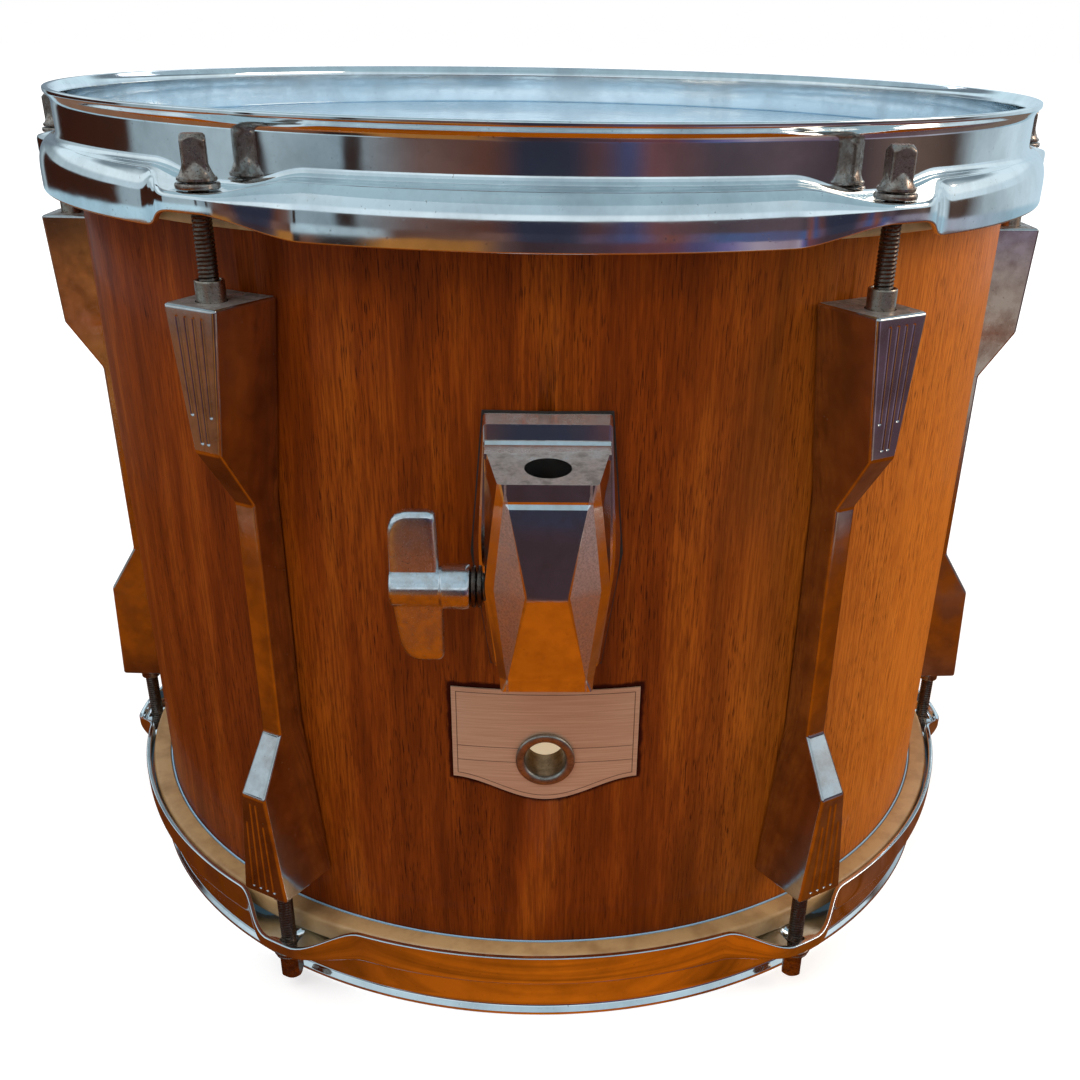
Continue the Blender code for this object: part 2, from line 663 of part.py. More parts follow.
def make_clamp():
    """The eye bolt through the bracket, its two rings and the wing nut, each on the clamp screw's axis."""
    ring_start = BODY_BACK_HALF + SEAT_GAP
    nut_start = ring_start + 2 * (RING + SEAT_GAP)
    tip = nut_start + HUB_LENGTH - BOLT_INSET
    half = EYE_HEIGHT / 2
    eye = piece("eye", tube("eye", BORE_RADIUS + EYE_WALL, BORE_RADIUS, -half, half, 16), STEEL)
    shank = cylinders("eye_shank", BOLT_RADIUS, BORE_RADIUS + EYE_WALL / 2, tip, [TOWARDS_NUT])
    boolean(eye, cutter("eye_shank", shank), "UNION")
    piece("eye_bolt", baked(eye, "eye_bolt"), STEEL, (0, BORE_Y, CLAMP_Z))
    ring = tube("clamp_ring", RING_RADIUS, BOLT_RADIUS + RUN_GAP, 0, RING)
    for label, start in (("clamp_washer", ring_start), ("clamp_lock_washer", ring_start + RING + SEAT_GAP)):
        piece(label, ring, STEEL, (-start, BORE_Y, CLAMP_Z), (0, -pi / 2, 0))
    profile = [(0, HUB_LENGTH), (HUB_RADIUS, HUB_LENGTH), (HUB_RADIUS, NECK_LENGTH)]
    hub = turned("hub", profile + [(NECK_RADIUS, NECK_LENGTH), (NECK_RADIUS, 0), (0, 0)], 16, closed=False)
    hub.transform(TOWARDS_NUT)
    nut = piece("nut", hub, NICKEL)
    for side in (1, -1):
        wing = plate("wing", wing_outline(side), WING_THICKNESS)
        boolean(nut, cutter(f"wing_{side}", wing), "UNION")
    bore = cylinders("nut_bore", BOLT_RADIUS + RUN_GAP, -PAST, HUB_LENGTH + PAST, [TOWARDS_NUT])
    boolean(nut, cutter("nut_bore", bore))
    piece("wing_nut", baked(nut, "wing_nut"), NICKEL, (-nut_start, BORE_Y, CLAMP_Z))


def badge_outline():
    """The badge's plate round the vent: square shoulders and a foot that dips to a point in two curves."""
    dip = BADGE_POINT - BADGE_FOOT
    foot = []
    for i in range(9):
        x = BADGE_HALF * (1 - i / 4)
        foot.append((x, VENT_Z - BADGE_FOOT - dip * (1 + cos(pi * x / BADGE_HALF)) / 2))
    top = VENT_Z + BADGE_TOP
    return [(-BADGE_HALF, top), (BADGE_HALF, top)] + foot


def make_badge():
    """The badge and the vent's grommet through it, with the ring that holds it inside the shell."""
    seat = SHELL_RADIUS + SEAT_GAP
    badge = piece("badge", curved_plate("badge", badge_outline(), seat, BADGE_PLATE), BRUSHED)
    tube_radius = VENT_RADIUS + VENT_TUBE
    place = along_radius(0, VENT_Z)
    low, high = SHELL_RADIUS - PAST, SHELL_RADIUS + PAST
    hole = cylinders("badge_hole", tube_radius + RUN_GAP, low, high, [place], 16)
    boolean(badge, cutter("badge_hole", hole))
    flange = seat + BADGE_PLATE + SEAT_GAP
    washer = inside_seat(VENT_FLANGE_RADIUS)
    outside = [
        (VENT_FLANGE_RADIUS - VENT_ROUND, flange + VENT_FLANGE),
        (VENT_FLANGE_RADIUS, flange),
        (tube_radius, flange),
        (tube_radius, washer - 2 * VENT_FLANGE),
    ]
    bore = [(VENT_RADIUS, washer - 2 * VENT_FLANGE), (VENT_RADIUS, flange + VENT_FLANGE)]
    piece("vent_grommet", turned("vent_grommet", outside + bore, 16), NICKEL, (0, 0, VENT_Z), (pi / 2, 0, 0))
    ring = tube("vent_washer", VENT_FLANGE_RADIUS, tube_radius + RUN_GAP, washer - VENT_FLANGE, washer, 16)
    piece("vent_washer", ring, STEEL, (0, 0, VENT_Z), (pi / 2, 0, 0))


for old in list(bpy.data.objects):
    bpy.data.objects.remove(old)

DRUM = collection("tom_tom")
CUTTERS = collection("cutters", hidden=True)
AXIS = empty("drum_axis", (0, AXIS_Y, 0))
TOWARDS_NUT = Matrix.Rotation(-pi / 2, 4, "Y")
LACQUER = material("lacquered mahogany", (0.33, 0.085, 0.02), 0.0, 0.28)
CHROME = material("hoop chrome", (0.72, 0.76, 0.80), 1.0, 0.12)
NICKEL = material("plated zinc", (0.66, 0.68, 0.72), 1.0, 0.15)
STEEL = material("dulled nickel steel", (0.38, 0.33, 0.30), 1.0, 0.35)
CREAM = material("cream flesh hoop", (0.80, 0.66, 0.46), 0.0, 0.5)
CLEAR = material("polyester film", (0.70, 0.76, 0.80), 0.0, 0.12)
BRUSHED = material("brushed badge plate", (0.70, 0.60, 0.58), 0.8, 0.35)
BLACK = material("black gasket", (0.03, 0.03, 0.03), 0.0, 0.7)

make_shell()
make_lugs()
make_ends()
make_bracket()
make_clamp()
make_badge()
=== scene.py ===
from functools import partial
from math import cos, pi, radians, sin

import bmesh
import bpy
import numpy as np
from mathutils import Matrix, Vector


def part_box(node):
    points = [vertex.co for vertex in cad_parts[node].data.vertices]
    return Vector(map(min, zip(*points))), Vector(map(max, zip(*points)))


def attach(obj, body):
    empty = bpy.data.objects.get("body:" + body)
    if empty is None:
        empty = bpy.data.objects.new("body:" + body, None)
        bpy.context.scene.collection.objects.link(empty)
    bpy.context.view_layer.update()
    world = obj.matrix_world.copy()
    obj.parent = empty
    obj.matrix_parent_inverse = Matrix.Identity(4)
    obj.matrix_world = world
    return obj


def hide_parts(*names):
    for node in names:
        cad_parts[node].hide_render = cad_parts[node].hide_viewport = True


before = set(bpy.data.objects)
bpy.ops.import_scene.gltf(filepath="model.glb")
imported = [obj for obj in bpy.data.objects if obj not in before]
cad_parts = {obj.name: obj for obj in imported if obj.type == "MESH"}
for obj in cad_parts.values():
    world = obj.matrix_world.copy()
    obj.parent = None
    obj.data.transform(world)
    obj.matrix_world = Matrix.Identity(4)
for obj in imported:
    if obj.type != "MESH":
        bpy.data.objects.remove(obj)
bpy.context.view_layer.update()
shellLow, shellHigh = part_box("shell")
axisY = float(shellLow[1] + shellHigh[1]) / 2
height = float(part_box("batter_hoop")[1][2])
rodAngles = [30, 90, 150, 210, 270, 330]  # from the front, towards +X
mm = 0.001
print("frame loaded")

# The drum is worked out in millimetres round its own axis, front towards -Y, and moved into the part's frame.
drumPlace = Matrix.Translation((0, axisY, 0)) @ Matrix.Scale(mm, 4)
lipRise = 16.0  # how far each hoop stands past its bearing edge
topEdge = round(height * 1000 - lipRise, 3)
bottomEdge = lipRise
middleZ, halfDepth = (topEdge + bottomEdge) / 2, (topEdge - bottomEdge) / 2
endPlaces = {
    "batter": drumPlace @ Matrix.Translation((0, 0, topEdge)),
    "resonant": drumPlace @ Matrix.Translation((0, 0, bottomEdge)) @ Matrix.Rotation(pi, 4, "Y"),
}


def linearColour(code):
    srgb = np.array([int(code[i:i + 2], 16) for i in (1, 3, 5)]) / 255
    linear = np.where(srgb <= 0.04045, srgb / 12.92, ((srgb + 0.055) / 1.055) ** 2.4)
    return (*linear.tolist(), 1.0)


# Each input is a value, a colour code or the output of another node.
def plug(node, inputs):
    for key, value in inputs.items() if isinstance(inputs, dict) else enumerate(inputs):
        if isinstance(value, bpy.types.NodeSocket):
            node.id_data.links.new(value, node.inputs[key])
        else:
            node.inputs[key].default_value = linearColour(value) if isinstance(value, str) else value


# Adds a node with its settings and inputs, and gives the output that the next node reads.
def addNode(tree, kind, settings=None, inputs=(), output=0):
    made = tree.nodes.new("ShaderNode" + kind)
    for key, value in (settings or {}).items():
        if key != "stops":
            setattr(made, key, value)
            continue
        ramp = made.color_ramp
        while len(ramp.elements) < len(value):
            ramp.elements.new(0.5)
        for element, (place, colour) in zip(ramp.elements, value):
            element.position = place
            element.color = linearColour(colour)
    plug(made, inputs)
    return made.outputs[output] if made.outputs else made


add, times, minus = ({"operation": name} for name in ("ADD", "MULTIPLY", "SUBTRACT"))
least, most, beyond = ({"operation": name} for name in ("MINIMUM", "MAXIMUM", "GREATER_THAN"))
absolute, cosine, equal = ({"operation": name} for name in ("ABSOLUTE", "COSINE", "COMPARE"))
length = {"operation": "LENGTH"}
asColour, smooth = {"data_type": "RGBA"}, {"interpolation_type": "SMOOTHSTEP"}


def newMaterial(name, shaderInputs):
    material = bpy.data.materials.new(name)
    material.use_nodes = True
    shader = material.node_tree.nodes["Principled BSDF"]
    plug(shader, shaderInputs)
    return material, partial(addNode, material.node_tree), shader


# A corner C between points A and B on its two edges becomes the curve (1-t)^2 A + 2t(1-t) C + t^2 B.
def roundCorners(corners, radii, steps=5):
    corners = np.asarray(corners, float)
    radii = np.broadcast_to(np.asarray(radii, float), len(corners))[:, None]
    ends = []
    for shift in (1, -1):
        edge = np.roll(corners, shift, 0) - corners
        long = np.maximum(np.linalg.norm(edge, axis=1, keepdims=True), 1e-9)
        ends.append(corners + edge / long * np.minimum(radii, long * 0.48))
    t = np.linspace(0, 1, steps)[None, :, None]
    arcs = (1 - t) ** 2 * ends[0][:, None] + 2 * t * (1 - t) * corners[:, None] + t ** 2 * ends[1][:, None]
    return arcs.reshape(-1, corners.shape[1])


# A profile of radius r and height z carried round the axis by the angle a: (r sin a, -r cos a, z).
def turned(profile, steps=96):
    angle = np.linspace(0, 2 * pi, steps, endpoint=False)[:, None]
    r, z = np.asarray(profile, float).T
    return np.stack([r * np.sin(angle), -r * np.cos(angle), np.broadcast_to(z, (steps, len(z)))], -1)


# The grid of points as vertices, and a quad between each point and its next in both directions.
def gridSurface(points, wrapRows=True, wrapColumns=True):
    rows, columns = points.shape[:2]
    i = np.arange(rows if wrapRows else rows - 1)[:, None]
    j = np.arange(columns if wrapColumns else columns - 1)[None, :]
    nextRow, nextColumn = (i + 1) % rows, (j + 1) % columns
    corners = (i * columns + j, nextRow * columns + j, nextRow * columns + nextColumn,
               i * columns + nextColumn)
    return points.reshape(-1, 3), np.stack(np.broadcast_arrays(*corners), -1).reshape(-1, 4)


# Rings in order, each closed, with both ends drawn together to the ring's own middle.
def loftSurface(rings):
    rings = np.asarray(rings, float)
    first = np.broadcast_to(rings[0].mean(0), rings[0].shape)
    last = np.broadcast_to(rings[-1].mean(0), rings[-1].shape)
    return gridSurface(np.concatenate([first[None], rings, last[None]]), wrapRows=False)


def cylinderSurface(radius, low, high, place, steps=32):
    ring = np.linspace(0, 2 * pi, steps, endpoint=False)
    rings = [np.stack([radius * np.cos(ring), radius * np.sin(ring), np.full(steps, z)], -1)
             for z in (low, high)]
    return placed(loftSurface(rings), place)


def placed(surface, place):
    points, quads = surface
    turn = np.array(place)
    return points @ turn[:3, :3].T + turn[:3, 3], quads


def makeMesh(name, surfaces, sharpAngle=35):
    starts = np.cumsum([0] + [len(points) for points, _ in surfaces])
    mesh = bpy.data.meshes.new(name)
    points = np.concatenate([points for points, _ in surfaces])
    quads = np.concatenate([quads + start for (_, quads), start in zip(surfaces, starts)])
    mesh.from_pydata(points.tolist(), [], quads.tolist())
    shape = bmesh.new()
    shape.from_mesh(mesh)
    bmesh.ops.remove_doubles(shape, verts=shape.verts, dist=0.001)
    bmesh.ops.dissolve_degenerate(shape, edges=shape.edges, dist=0.0005)
    bmesh.ops.recalc_face_normals(shape, faces=shape.faces)
    shape.to_mesh(mesh)
    shape.free()
    mesh.shade_smooth()
    mesh.set_sharp_from_angle(angle=radians(sharpAngle))
    return mesh


# The mesh with modifiers applied. A step is a modifier's type and its settings, where a mesh is its tool.
def withSteps(mesh, steps):
    host = bpy.data.objects.new("host", mesh)
    bpy.context.collection.objects.link(host)
    tools = []
    for kind, settings in steps:
        modifier = host.modifiers.new(kind.lower(), kind)
        for key, value in settings.items():
            if isinstance(value, bpy.types.Mesh):
                value = bpy.data.objects.new("tool", value)
                bpy.context.collection.objects.link(value)
                tools.append(value)
            setattr(modifier, key, value)
    bpy.context.view_layer.update()
    made = bpy.data.meshes.new_from_object(host.evaluated_get(bpy.context.evaluated_depsgraph_get()))
    made.name = mesh.name
    for spare in (host, *tools):
        bpy.data.objects.remove(spare)
    return made


def cut(surfaces):
    return ("BOOLEAN", {"operation": "DIFFERENCE", "object": makeMesh("cut", surfaces)})


def join(surfaces):
    return ("BOOLEAN", {"operation": "UNION", "object": makeMesh("join", surfaces)})


# The mesh moved to its place in the part's frame, as a piece that rides on a body and stands for CAD nodes.
def addPiece(name, mesh, material, body, nodes=(), place=drumPlace):
    made = mesh.copy()
    made.name = name
    made.transform(place)
    made.materials.clear()
    made.materials.append(material)
    piece = bpy.data.objects.new(name, made)
    bpy.context.collection.objects.link(piece)
    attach(piece, body)
    if nodes:
        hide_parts(*nodes)
    return piece


# Object coordinates in millimetres, counted from the drum's axis.
def drumCoordinates(node):
    here = node("TexCoord", None, (), "Object")
    sizes = {"Vector": here, "Location": (0, -axisY * 1000, 0), "Scale": (1000, 1000, 1000)}
    return node("Mapping", {"vector_type": "POINT"}, sizes)


# A grain of a real size in millimetres, drawn out along any axis whose stretch is over 1.
def grain(node, here, size, stretch=(1, 1, 1), detail=3.0, roughness=0.55):
    scaled = node("Mapping", None, {"Vector": here, "Scale": [1 / (size * share) for share in stretch]})
    return node("TexNoise", None, {"Vector": scaled, "Scale": 1.0, "Detail": detail, "Roughness": roughness})


# The distance from the drum's axis.
def axisDistance(node, here):
    return node("VectorMath", length, [node("VectorMath", times, [here, (1, 1, 0)])], "Value")


# The distance up or down from the drum's middle.
def middleDistance(node, here):
    z = node("SeparateXYZ", None, [here], "Z")
    return node("Math", absolute, [node("Math", minus, [z, middleZ])])


# The badge's sizes stand here because the darker band on the veneer follows its outline.
ventZ = 103.0
badge = {"half": 29.0, "top": 24.3, "foot": 8.0, "point": 15.3, "plate": 0.6, "back": 164.3,
         "metal": "#DEC0A4", "shade": "#CAA488", "line": "#3A2018", "border": 1.5, "lineHalf": 0.14,
         "band": 2.6, "bandHalf": 0.12, "bandRise": 1.0, "ink": 0.75}


# How far a point lies inside the badge's outline: the least of its ways to sides, top and curved foot.
def badgeInset(node, x, z):
    dip = (badge["point"] - badge["foot"]) / 2
    wave = node("Math", cosine, [node("Math", times, [x, pi / badge["half"]])])
    foot = node("Math", minus, [ventZ - badge["foot"] - dip, node("Math", times, [wave, dip])])
    fromSide = node("Math", minus, [badge["half"], node("Math", absolute, [x])])
    fromTop = node("Math", minus, [ventZ + badge["top"], z])
    upDown = node("Math", least, [node("Math", minus, [z, foot]), fromTop])
    return node("Math", least, [upDown, fromSide])


shell = {"radius": 164.0, "wall": 8.0, "bevel": 5.0, "screwHole": 2.75, "ventHole": 7.35, "steps": 288}


# Mahogany veneer, sanded and lacquered satin: a deep red-brown with fine upright fibres, short dark pores and
# broad streaks, and a thin soft gloss over it; inside the shell the same wood is bare and pale.
# Three keys below set where painted light lightens the side towards +X, and how strongly.
veneer = {
    "dark": "#5C2303", "middle": "#873A07", "light": "#A8530F", "pore": "#2C0D02", "glow": "#D88028",
    "darkening": "#2A0502", "inside": "#C2A074", "insideDark": "#A07C50", "poreWidth": 0.34, "poreLength": 5.5,
    "bandWidth": 14.0, "fibreWidth": 0.75, "roughness": 0.45, "paintedLightFrom": 24.0, "paintedLightTo": 160.0,
    "paintedLightShare": 0.85, "badgeBandRagged": 2.4, "badgeBandReach": (1.9, 3.2), "badgeBandShare": 0.95,
    "badgeBandFront": (-150.0, -155.0),
}


def veneerMaterial():
    material, node, shader = newMaterial("lacqueredMahoganyVeneer",
                                         {"Roughness": veneer["roughness"], "Specular IOR Level": 0.05,
                                          "Coat Weight": 0.08, "Coat Roughness": 0.14})
    here = drumCoordinates(node)
    bands = grain(node, here, veneer["bandWidth"], (1, 1, 9), 4, 0.6)
    stops = [(0.30, veneer["dark"]), (0.50, veneer["middle"]), (0.72, veneer["light"])]
    tone = node("ValToRGB", {"stops": stops}, [bands])
    fibre = grain(node, here, veneer["fibreWidth"], (1, 1, 22), 3, 0.65)
    fibreShare = node("MapRange", None, [fibre, 0.40, 0.62, 0.0, 0.62])
    apart = node("SeparateXYZ", None, [here]).node
    # The side towards +X is painted lighter, towards the glow colour on the streaks and the light colour on
    # the fibres: painted light from that side.
    paintedSideLight = node("MapRange", smooth, [apart.outputs[0], veneer["paintedLightFrom"], veneer["paintedLightTo"], 0.0,
                                      veneer["paintedLightShare"]])
    paintedLitTone = node("Mix", asColour, {0: paintedSideLight, 6: tone, 7: veneer["glow"]}, 2)
    deep = node("Mix", asColour, {0: paintedSideLight, 6: veneer["dark"], 7: veneer["light"]}, 2)
    shaded = node("Mix", asColour, {0: fibreShare, 6: paintedLitTone, 7: deep}, 2)
    poreStretch = (1, 1, veneer["poreLength"] / veneer["poreWidth"])
    pores = node("MapRange", None, [grain(node, here, veneer["poreWidth"], poreStretch, 1, 0.5), 0.58, 0.68])
    patches = node("MapRange", None, [grain(node, here, 13, (1, 1, 5), 2, 0.5), 0.35, 0.62, 0.15, 0.75])
    poreShare = node("Math", times, [pores, patches])
    pored = node("Mix", asColour, {0: poreShare, 6: shaded, 7: veneer["pore"]}, 2)
    # The veneer is darker in a ragged band of a millimetre or two round the badge, on the front.
    ragged = node("Math", times, [grain(node, here, 5), veneer["badgeBandRagged"]])
    away = node("Math", minus, [ragged, badgeInset(node, apart.outputs[0], apart.outputs[2])])
    near = node("MapRange", smooth, [away, *veneer["badgeBandReach"], veneer["badgeBandShare"], 0.0])
    inFront = node("Math", times, [near, node("MapRange", None, [apart.outputs[1], *veneer["badgeBandFront"]])])
    sheet = node("Mix", asColour, {0: inFront, 6: pored, 7: veneer["darkening"]}, 2)
    bareShare = node("MapRange", None, [fibre, 0.4, 0.6, 0.0, 0.5])
    ends = {0: bareShare, 6: veneer["inside"], 7: veneer["insideDark"]}
    outer = node("MapRange", None, [axisDistance(node, here), shell["radius"] - 2, shell["radius"] - 1])
    colour = node("Mix", asColour, {0: outer, 6: node("Mix", asColour, ends, 2), 7: sheet}, 2)
    rough = node("MapRange", None, [poreShare, 0, 1, veneer["roughness"], 0.6])
    relief = node("Math", minus, [node("Math", times, [fibre, 0.3]), poreShare])
    normal = node("Bump", None, {"Height": relief, "Distance": 0.05 * mm, "Strength": 0.4})
    plug(shader, {"Base Color": colour, "Roughness": rough, "Normal": normal})
    return material


plating = {"pit": "#3A2C26", "roughness": 0.045, "haze": 0.08, "hazeSize": 3.0, "pitSize": 0.6,
           "pitLevel": 0.70, "pits": 0.5, "rippleSize": 3.0, "ripple": 1.0}


# Bright plate on steel or zinc: a mirror with faint ripples, dull freckles from age and tiny dark pits.
def platedMaterial(name, **changes):
    look = {**plating, **changes}
    material, node, shader = newMaterial(name, {"Metallic": 1.0, "Roughness": look["roughness"]})
    here = drumCoordinates(node)
    haze = grain(node, here, look["hazeSize"], detail=4, roughness=0.6)
    pits = grain(node, here, look["pitSize"], detail=2, roughness=0.5)
    found = node("MapRange", None, [pits, look["pitLevel"], look["pitLevel"] + 0.07, 0.0, look["pits"]])
    hazeShare = node("MapRange", None, [haze, 0.4, 0.7])
    tone = node("Mix", asColour, {0: hazeShare, 6: look["clean"], 7: look["dull"]}, 2)
    rough = node("MapRange", None, [haze, 0.35, 0.75, look["roughness"], look["roughness"] + look["haze"]])
    if "etched" in look:
        etching = look["etched"]
        # The facets on both sides of the ridge are left as cast: |x| lies between two lines in |z - ridge|.
        apart = node("SeparateXYZ", None, [here]).node
        across = node("Math", absolute, [apart.outputs[0]])
        fromRidge = node("Math", minus, [apart.outputs[2], etching["ridge"]])
        along = node("Math", absolute, [fromRidge])
        inner = node("MapRange", None, [along, 0.0, etching["half"], *etching["inner"]])
        outer = node("MapRange", None, [along, 0.0, etching["half"], *etching["outer"]])
        sides = node("Math", times, [node("Math", beyond, [across, inner]),
                                              node("Math", beyond, [outer, across])])
        forward = node("MapRange", None, [apart.outputs[1], *etching["front"]])
        etched = node("Math", times, [sides, forward])
        speckle = node("MapRange", None, [grain(node, here, 0.55, detail=3, roughness=0.7), 0.42, 0.6])
        grainy = node("Math", times, [etched, speckle])
        found = node("Math", most, [found, node("Math", times, [grainy, 0.35])])
        rough = node("Math", add, [rough, node("Math", times, [etched, 0.22])])
    colour = node("Mix", asColour, {0: found, 6: tone, 7: look["pit"]}, 2)
    if "shaft" in look:
        # The threads between the two hoops are painted darker: painted shade.
        paintedThreadShade = node("MapRange", None, [middleDistance(node, here), halfDepth - 8, halfDepth - 3, 0.8, 0.0])
        colour = node("Mix", asColour, {0: paintedThreadShade, 6: colour, 7: look["shaft"]}, 2)
    rough = node("Math", add, [rough, node("Math", times, [found, 0.3])])
    ripple = grain(node, here, look["rippleSize"], detail=2, roughness=0.5)
    sunk = node("Math", times, [found, 0.3])
    relief = node("Math", minus, [node("Math", times, [ripple, look["ripple"]]), sunk])
    normal = node("Bump", None, {"Height": relief, "Distance": 0.06 * mm, "Strength": 0.6})
    if "dust" in look:
        # Grey dust lies on faces that look up.
        facing = node("SeparateXYZ", None, [node("NewGeometry", None, (), "Normal")]).node
        upward = node("MapRange", None, [facing.outputs[2], 0.9, 0.985])
        ragged = node("MapRange", None, [grain(node, here, 3.5, detail=4, roughness=0.65), 0.3, 0.6, 0.35,
                                         1.0])
        dusty = node("Math", times, [upward, ragged])
        colour = node("Mix", asColour, {0: dusty, 6: colour, 7: look["dust"]}, 2)
        rough = node("Math", most, [rough, node("Math", times, [dusty, 0.6])])
        plug(shader, {"Metallic": node("MapRange", None, [dusty, 0.0, 1.0, 1.0, 0.25])})
    plug(shader, {"Base Color": colour, "Roughness": rough, "Normal": normal})
    return material


hoopFinish = platedMaterial("chromePlatedSteel", clean="#F0F4F6", dull="#D2D6D8", pit="#4A3B32",
                            hazeSize=18.0, pitSize=0.9, rippleSize=16.0, ripple=1.4)
lugFinish = platedMaterial("chromePlatedZincCasting", clean="#D0CECE", dull="#ABA39F", pit="#3E302A",
                           roughness=0.08, haze=0.10, hazeSize=9.0, pitSize=0.7, pitLevel=0.69,
                           rippleSize=9.0, dust="#6A625C")
bracketEtching = {"ridge": 174.0, "half": 27.0, "front": (-190.6, -191.0), "inner": (5.9, 10.6),
                  "outer": (14.2, 11.2)}
bracketFinish = platedMaterial("agedChromeOnZincCasting", clean="#F0F0F2", dull="#DCD8D4", roughness=0.07,
                               hazeSize=5.0, rippleSize=8.0, ripple=0.8, dust="#726E6C",
                               etched=bracketEtching)
wingFinish = platedMaterial("wornChromeOnZincCasting", clean="#E0E2E6", dull="#C2BEBC", roughness=0.15,
                            haze=0.12, pitSize=0.5, pitLevel=0.66, rippleSize=5.0)
# Its shaft colour is painted shade on the threads between the hoops.
rodFinish = platedMaterial("tarnishedNickelSteel", clean="#A89B92", dull="#5E4A3E", pit="#2A1B14",
                           roughness=0.20, haze=0.25, hazeSize=2.5, pitSize=0.5, pitLevel=0.60, pits=0.8,
                           shaft="#453830")
nutFinish = platedMaterial("dulledNickelPlate", clean="#A89C90", dull="#7B6656", pit="#3A2A20",
                           roughness=0.22, haze=0.2, pitLevel=0.60, pits=0.7, ripple=0.8)
grommetFinish = platedMaterial("spunNickelBrass", clean="#A9A49C", dull="#7E7870", pit="#4A4038",
                               roughness=0.36, haze=0.1, pitSize=0.5, pitLevel=0.62, ripple=0.6)
zincFinish = platedMaterial("zincPlatedSteel", clean="#A3A29E", dull="#6F6A64", pit="#3A322B", roughness=0.28,
                            haze=0.2, pitLevel=0.64, rippleSize=4.0, ripple=0.6)
veneerFinish = veneerMaterial()


# Polyester film: smooth and glossy, with faint scuffs in the middle and a creamy inner face; the face's pale
# blue is a painted reflection of the sky. Both faces glow faintly, which stands for daylight that comes
# through the film.
film = {"face": "#98BEDC", "scuff": "#8FA6B4", "under": "#EDE2C6", "underGlow": 0.45,
        "lit": "#A6E0FF", "litGlow": 0.06, "roughness": 0.08, "innerReach": 158.0}


def filmMaterial():
    material, node, shader = newMaterial("glossPolyesterFilm", {"Roughness": film["roughness"], "IOR": 1.6})
    here = drumCoordinates(node)
    radius = axisDistance(node, here)
    scuffs = node("MapRange", None, [grain(node, here, 5, (1, 3, 1), 5, 0.7), 0.55, 0.72])
    middle = node("MapRange", None, [radius, 30, 90, 0.6, 0.08])
    worn = node("Math", times, [scuffs, middle])
    # The face colour's pale blue is a painted reflection of the sky.
    colour = node("Mix", asColour, {0: worn, 6: film["face"], 7: film["scuff"]}, 2)
    inner = node("MapRange", None, [middleDistance(node, here), halfDepth + 0.4, halfDepth + 0.6, 1.0, 0.0])
    within = node("MapRange", None, [radius, film["innerReach"], film["innerReach"] + 1, 1.0, 0.0])
    inward = node("Math", times, [inner, within])
    colour = node("Mix", asColour, {0: inward, 6: colour, 7: film["under"]}, 2)
    lit = node("Mix", asColour, {0: inward, 6: film["lit"], 7: film["under"]}, 2)
    glow = node("MapRange", None, [inward, 0.0, 1.0, film["litGlow"], film["underGlow"]])
    rough = node("MapRange", None, [worn, 0, 1, film["roughness"], 0.4])
    wave = grain(node, here, 40, detail=2, roughness=0.5)
    normal = node("Bump", None, {"Height": wave, "Distance": 0.25 * mm, "Strength": 0.5})
    plug(shader, {"Base Color": colour, "Roughness": rough, "Normal": normal,
                        "Emission Color": lit, "Emission Strength": glow})
    return material


# Rolled flesh hoop, its coating yellowed to cream and rubbed darker in patches.
channelLook = {"face": "#BC9A6C", "aged": "#8E6A42", "roughness": 0.42}


def channelMaterial():
    material, node, shader = newMaterial("yellowedFleshHoop", {"Roughness": channelLook["roughness"]})
    here = drumCoordinates(node)
    darkening = node("MapRange", None, [grain(node, here, 11, detail=4, roughness=0.6), 0.42, 0.75, 0.0, 0.8])
    ends = {0: darkening, 6: channelLook["face"], 7: channelLook["aged"]}
    fine = grain(node, here, 1.2, detail=3, roughness=0.6)
    normal = node("Bump", None, {"Height": fine, "Distance": 0.08 * mm, "Strength": 0.4})
    plug(shader, {"Base Color": node("Mix", asColour, ends, 2), "Normal": normal})
    return material


# Fibre sheet, stamped black and matt.
def gasketMaterial():
    material, node, shader = newMaterial("blackFibreSheet", {"Roughness": 0.75})
    fine = grain(node, drumCoordinates(node), 0.5, detail=3, roughness=0.6)
    share = node("MapRange", None, [fine, 0.3, 0.7])
    ends = {0: share, 6: "#16120F", 7: "#2A231E"}
    normal = node("Bump", None, {"Height": fine, "Distance": 0.05 * mm, "Strength": 0.5})
    plug(shader, {"Base Color": node("Mix", asColour, ends, 2), "Normal": normal})
    return material


filmFinish = filmMaterial()
channelFinish = channelMaterial()
gasketFinish = gasketMaterial()
print("materials made")

# A place on the shell whose Z axis points outwards, at an angle from the front.
def radialPlace(angle, z):
    return (Matrix.Rotation(radians(angle), 4, "Z") @ Matrix.Translation((0, 0, z))
            @ Matrix.Rotation(pi / 2, 4, "X"))


# Shell: a lacquered tube with its edges cut down inside, drilled for the vent and the screws.
screwHeights = {"lug": (79.0, 207.0), "bracket": (190.5, 151.5)}
outside, inside = shell["radius"], shell["radius"] - shell["wall"]
shellCorners = [(outside, topEdge), (outside, bottomEdge), (inside + shell["bevel"], bottomEdge),
                (inside, bottomEdge + shell["bevel"]), (inside, topEdge - shell["bevel"]),
                (inside + shell["bevel"], topEdge)]
shellProfile = roundCorners(shellCorners, [1.5, 1.5, 0.6, 1.5, 1.5, 0.6], 4)
shellMesh = makeMesh("shell", [gridSurface(turned(shellProfile, shell["steps"]))])
drilled = [cylinderSurface(shell["screwHole"], 150, 170, radialPlace(a, z), 16) for a in rodAngles
           for z in screwHeights["lug"]]
drilled += [cylinderSurface(shell["screwHole"], 150, 170, radialPlace(0, z), 16)
            for z in screwHeights["bracket"]]
drilled.append(cylinderSurface(shell["ventHole"], 150, 170, radialPlace(0, ventZ), 40))
shellMesh = withSteps(shellMesh, [cut(drilled)])
addPiece("veneered_shell", shellMesh, veneerFinish, "drum", ["shell"])
print("shell made")

